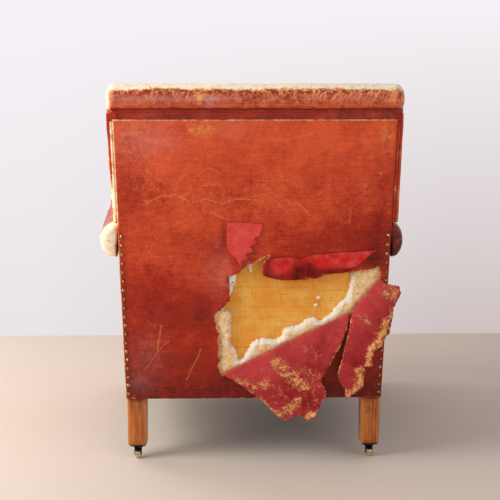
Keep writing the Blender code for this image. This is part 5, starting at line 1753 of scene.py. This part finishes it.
canvas = {"thickness": 0.0011, "crown": 0.0006, "wave": 0.0004, "rearHalf": 0.25, "frontHalf": 0.29,
          "backInset": 0.046, "backDepth": 0.0552}


def makeCanvas(name, place, outward, rows, columns):
    front = np.array([place(i / (rows - 1), j / (columns - 1)) for i in range(rows) for j in range(columns)])
    return thickSheet(name, front, gridFaces(rows, columns), canvas["thickness"], outward, (jute,))


def makeSeatCanvas(look):
    low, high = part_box("seat_canvas")

    def place(u, v):
        x, y = 2 * u - 1, 2 * v - 1
        edge = max(abs(x), abs(y))
        drop = (high.z - low.z) * float(ease(edge, 0.9, 1))
        half = np.interp(v, [0, 1], [look["rearHalf"], look["frontHalf"]])
        crown = look["crown"] * noise.noise(Vector((x * 3, y * 3, 1.5)))
        return (x * half, low.y + 0.002 + v * (high.y - low.y - 0.004),
                high.z - 0.0006 - drop + crown * (edge < 0.9))
    return makeCanvas("seat_canvas_jute", place, (0, 0, 1), 70, 70)


def makeBackCanvas(look):
    low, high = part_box("back_canvas")

    def place(u, v):
        z = low.z + v * (high.z - low.z)
        wave = look["wave"] * noise.noise(Vector((u * 6, v * 5, 3.5)))
        return ((2 * u - 1) * (edgeX(z) - look["backInset"]), rakedY(z) + look["backDepth"] + wave, z)
    return makeCanvas("back_canvas_jute", place, (0, -1, 0), 70, 60)


seatCanvas = fit(makeSeatCanvas(canvas), ["seat_canvas"])
backCanvas = fit(makeBackCanvas(canvas), ["back_canvas"])

stuffing = {"voxel": 0.01, "smooth": 3, "shrink": 0.0015, "cap": 0.002, "pressure": 2.0, "fine": 0}


def makeStuffing(look):
    piece = puff(copyNode("seat_stuffing", "seat_stuffing_hair"), look)
    wrinkle(piece, 0.0016, 0.02, 4, lambda p: ease(p[:, 2], 0.335, 0.345))
    piece.data.materials.append(hair)
    return piece


hairPad = fit(makeStuffing(stuffing), ["seat_stuffing"])

dust = {"sag": 0.0022, "thickness": 0.0008, "inset": 0.004, "rearY": -0.267, "room": 0.004}


def makeDustCover(look):
    high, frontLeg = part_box("dust_cover")[1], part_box("front_leg_right")
    rearX, rearY = chair["edgeX"] - chair["leg"] - look["room"], chair["legY"] + chair["leg"] + look["room"]
    frontX, frontY = frontLeg[0].x - look["room"], frontLeg[0].y - look["room"]

    def half(y):
        return sideX(y, chair["hemZ"]) - look["inset"]
    right = [(rearX, look["rearY"]), (rearX, rearY), (half(rearY), rearY), (half(frontY), frontY),
             (frontX, frontY), (frontX, high.y - 0.0005)]
    corners = np.array(right + [(-x, y) for x, y in reversed(right)])
    outline = resample(corners, 0.008, closed=True)
    ahead = np.roll(corners, -1, 0)
    area = 0.5 * abs(np.sum(corners[:, 0] * ahead[:, 1] - corners[:, 1] * ahead[:, 0]))
    flat, faces, _, toEdge = cutSheet(outline, 0.009)
    sag = look["sag"] * ease(toEdge, 0, 0.12) * (0.8 + 0.4 * rough(places(*flat.T, 0), 0.08, 4, 2))
    top, under = [places(*flat.T, high.z - 0.0001 - sag - deep) for deep in (0, look["thickness"])]
    return closedSheet("dust_cover_cambric", top, under, faces, (cambric,)), float(area)


dustCover, dustArea = makeDustCover(dust)
fit(dustCover, ["dust_cover"])
print("seat layers made")

# the frame's own solids keep their shapes and get their finishes
for name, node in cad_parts.items():
    if node.hide_render:
        continue
    coat = springSteel if name.startswith("seat_spring") else railWood
    for slotNumber in range(len(node.data.materials)):
        node.data.materials[slotNumber] = coat


# room: pale floor and wall; daylight from broad windows at the left, a weak fill at the right
room = {
    "wallY": 1.0, "wallZ": 3.2, "reach": 4,
    "floor": "#d9cdbf", "wall": "#efe9ee", "brightWall": "#f6f2f7", "dimWall": "#cdc1c0",
    "camera": (-0.0715, -2.717, 0.86), "pitch": 8.63, "turn": -1.461, "lens": 79.2,
}


def floorPaint(look):
    material, add, place = newMaterial("studio_floor_paint", Roughness=0.8)
    mottle = add(texture, place, 1 / 0.3, 3)
    tone = add(tint, add(span, mottle, 0.3, 0.7, 0, 0.05), look["floor"], "#bfb3a8")
    return finish(material, tone, mottle, 0.0002)


def wallPaint(look):
    material, add, place = newMaterial("studio_wall_paint", Roughness=0.9)
    tree = material.node_tree
    tree.nodes["Principled BSDF"].inputs["Base Color"].default_value = hexColour(look["wall"])
    # as seen, the wall glows with painted light falloff: darker low down and towards the right
    spot = add("ShaderNodeSeparateXYZ", {"Vector": place}, out=None)
    low = add(span, spot.outputs["Z"], 1.15, 0)
    dim = add(times, add(span, spot.outputs["X"], -0.7, 0.7, 0.32, 1), low)
    shade = add(tint, dim, look["brightWall"], look["dimWall"])
    rays = add("ShaderNodeLightPath", out=None)
    seen = add(plus, rays.outputs["Is Camera Ray"], rays.outputs["Is Glossy Ray"])
    seen = add(plus, seen, rays.outputs["Is Transmission Ray"], use_clamp=True)
    front = add("ShaderNodeMixShader", {0: seen, 1: tree.nodes["Principled BSDF"].outputs[0],
                                        2: add("ShaderNodeEmission", {"Color": shade, "Strength": 1.0})})
    behind = add(times, add("ShaderNodeNewGeometry", out="Backfacing"), seen)
    whole = add("ShaderNodeMixShader", {0: behind, 1: front, 2: add("ShaderNodeBsdfTransparent")})
    tree.links.new(whole, tree.nodes["Material Output"].inputs["Surface"])
    return material  # seen from behind, the wall is clear


def makeRoom(look):
    wide, wall, high = look["reach"], look["wallY"], look["wallZ"]
    ground = [(-wide, -wide, 0), (wide, -wide, 0), (wide, wall, 0), (-wide, wall, 0)]
    upright = [(-wide, wall, 0), (wide, wall, 0), (wide, wall, high), (-wide, wall, high)]
    newPiece("studio_floor", ground, [(0, 1, 2, 3)], materials=[floorPaint(look)])
    newPiece("studio_wall", upright, [(0, 1, 2, 3)], materials=[wallPaint(look)])


def addLamp(name, place, target, size, power, colour):
    lamp = bpy.data.lights.new(name, "AREA")
    lamp.shape, lamp.size, lamp.size_y, lamp.energy = "RECTANGLE", size[0], size[1], power
    lamp.color = hexColour(colour)[:3]
    holder = newObject(name, lamp)
    holder.location = place
    holder.rotation_euler = (Vector(target) - Vector(place)).to_track_quat("-Z", "Y").to_euler()
    holder.visible_camera = False


makeRoom(room)
world = bpy.data.worlds.new("studio")
world.use_nodes = True
glow = world.node_tree.nodes["Background"].inputs
glow["Color"].default_value = hexColour("#f3eff4")
glow["Strength"].default_value = 0.55
scene.world = world
addLamp("window_left", (-2.2, -1.0, 1.6), (0, -0.1, 0.45), (1.6, 2.0), 62, "#fffaf2")
addLamp("window_far_left", (-1.6, 0.9, 1.5), (-0.2, 0.0, 0.5), (0.8, 1.6), 14, "#fffaf5")
addLamp("fill_right", (2.0, -2.2, 1.4), (0, -0.2, 0.45), (2.0, 2.0), 12, "#f4f2ff")
lens = bpy.data.cameras.new("camera")
lens.lens, lens.sensor_width = room["lens"], 36
camera = newObject("camera", lens)
camera.location = room["camera"]
camera.rotation_euler = (math.radians(90 - room["pitch"]), 0, math.radians(room["turn"]))
scene.camera = camera
scene.view_settings.view_transform = "Standard"
print("room, lamps and camera made")
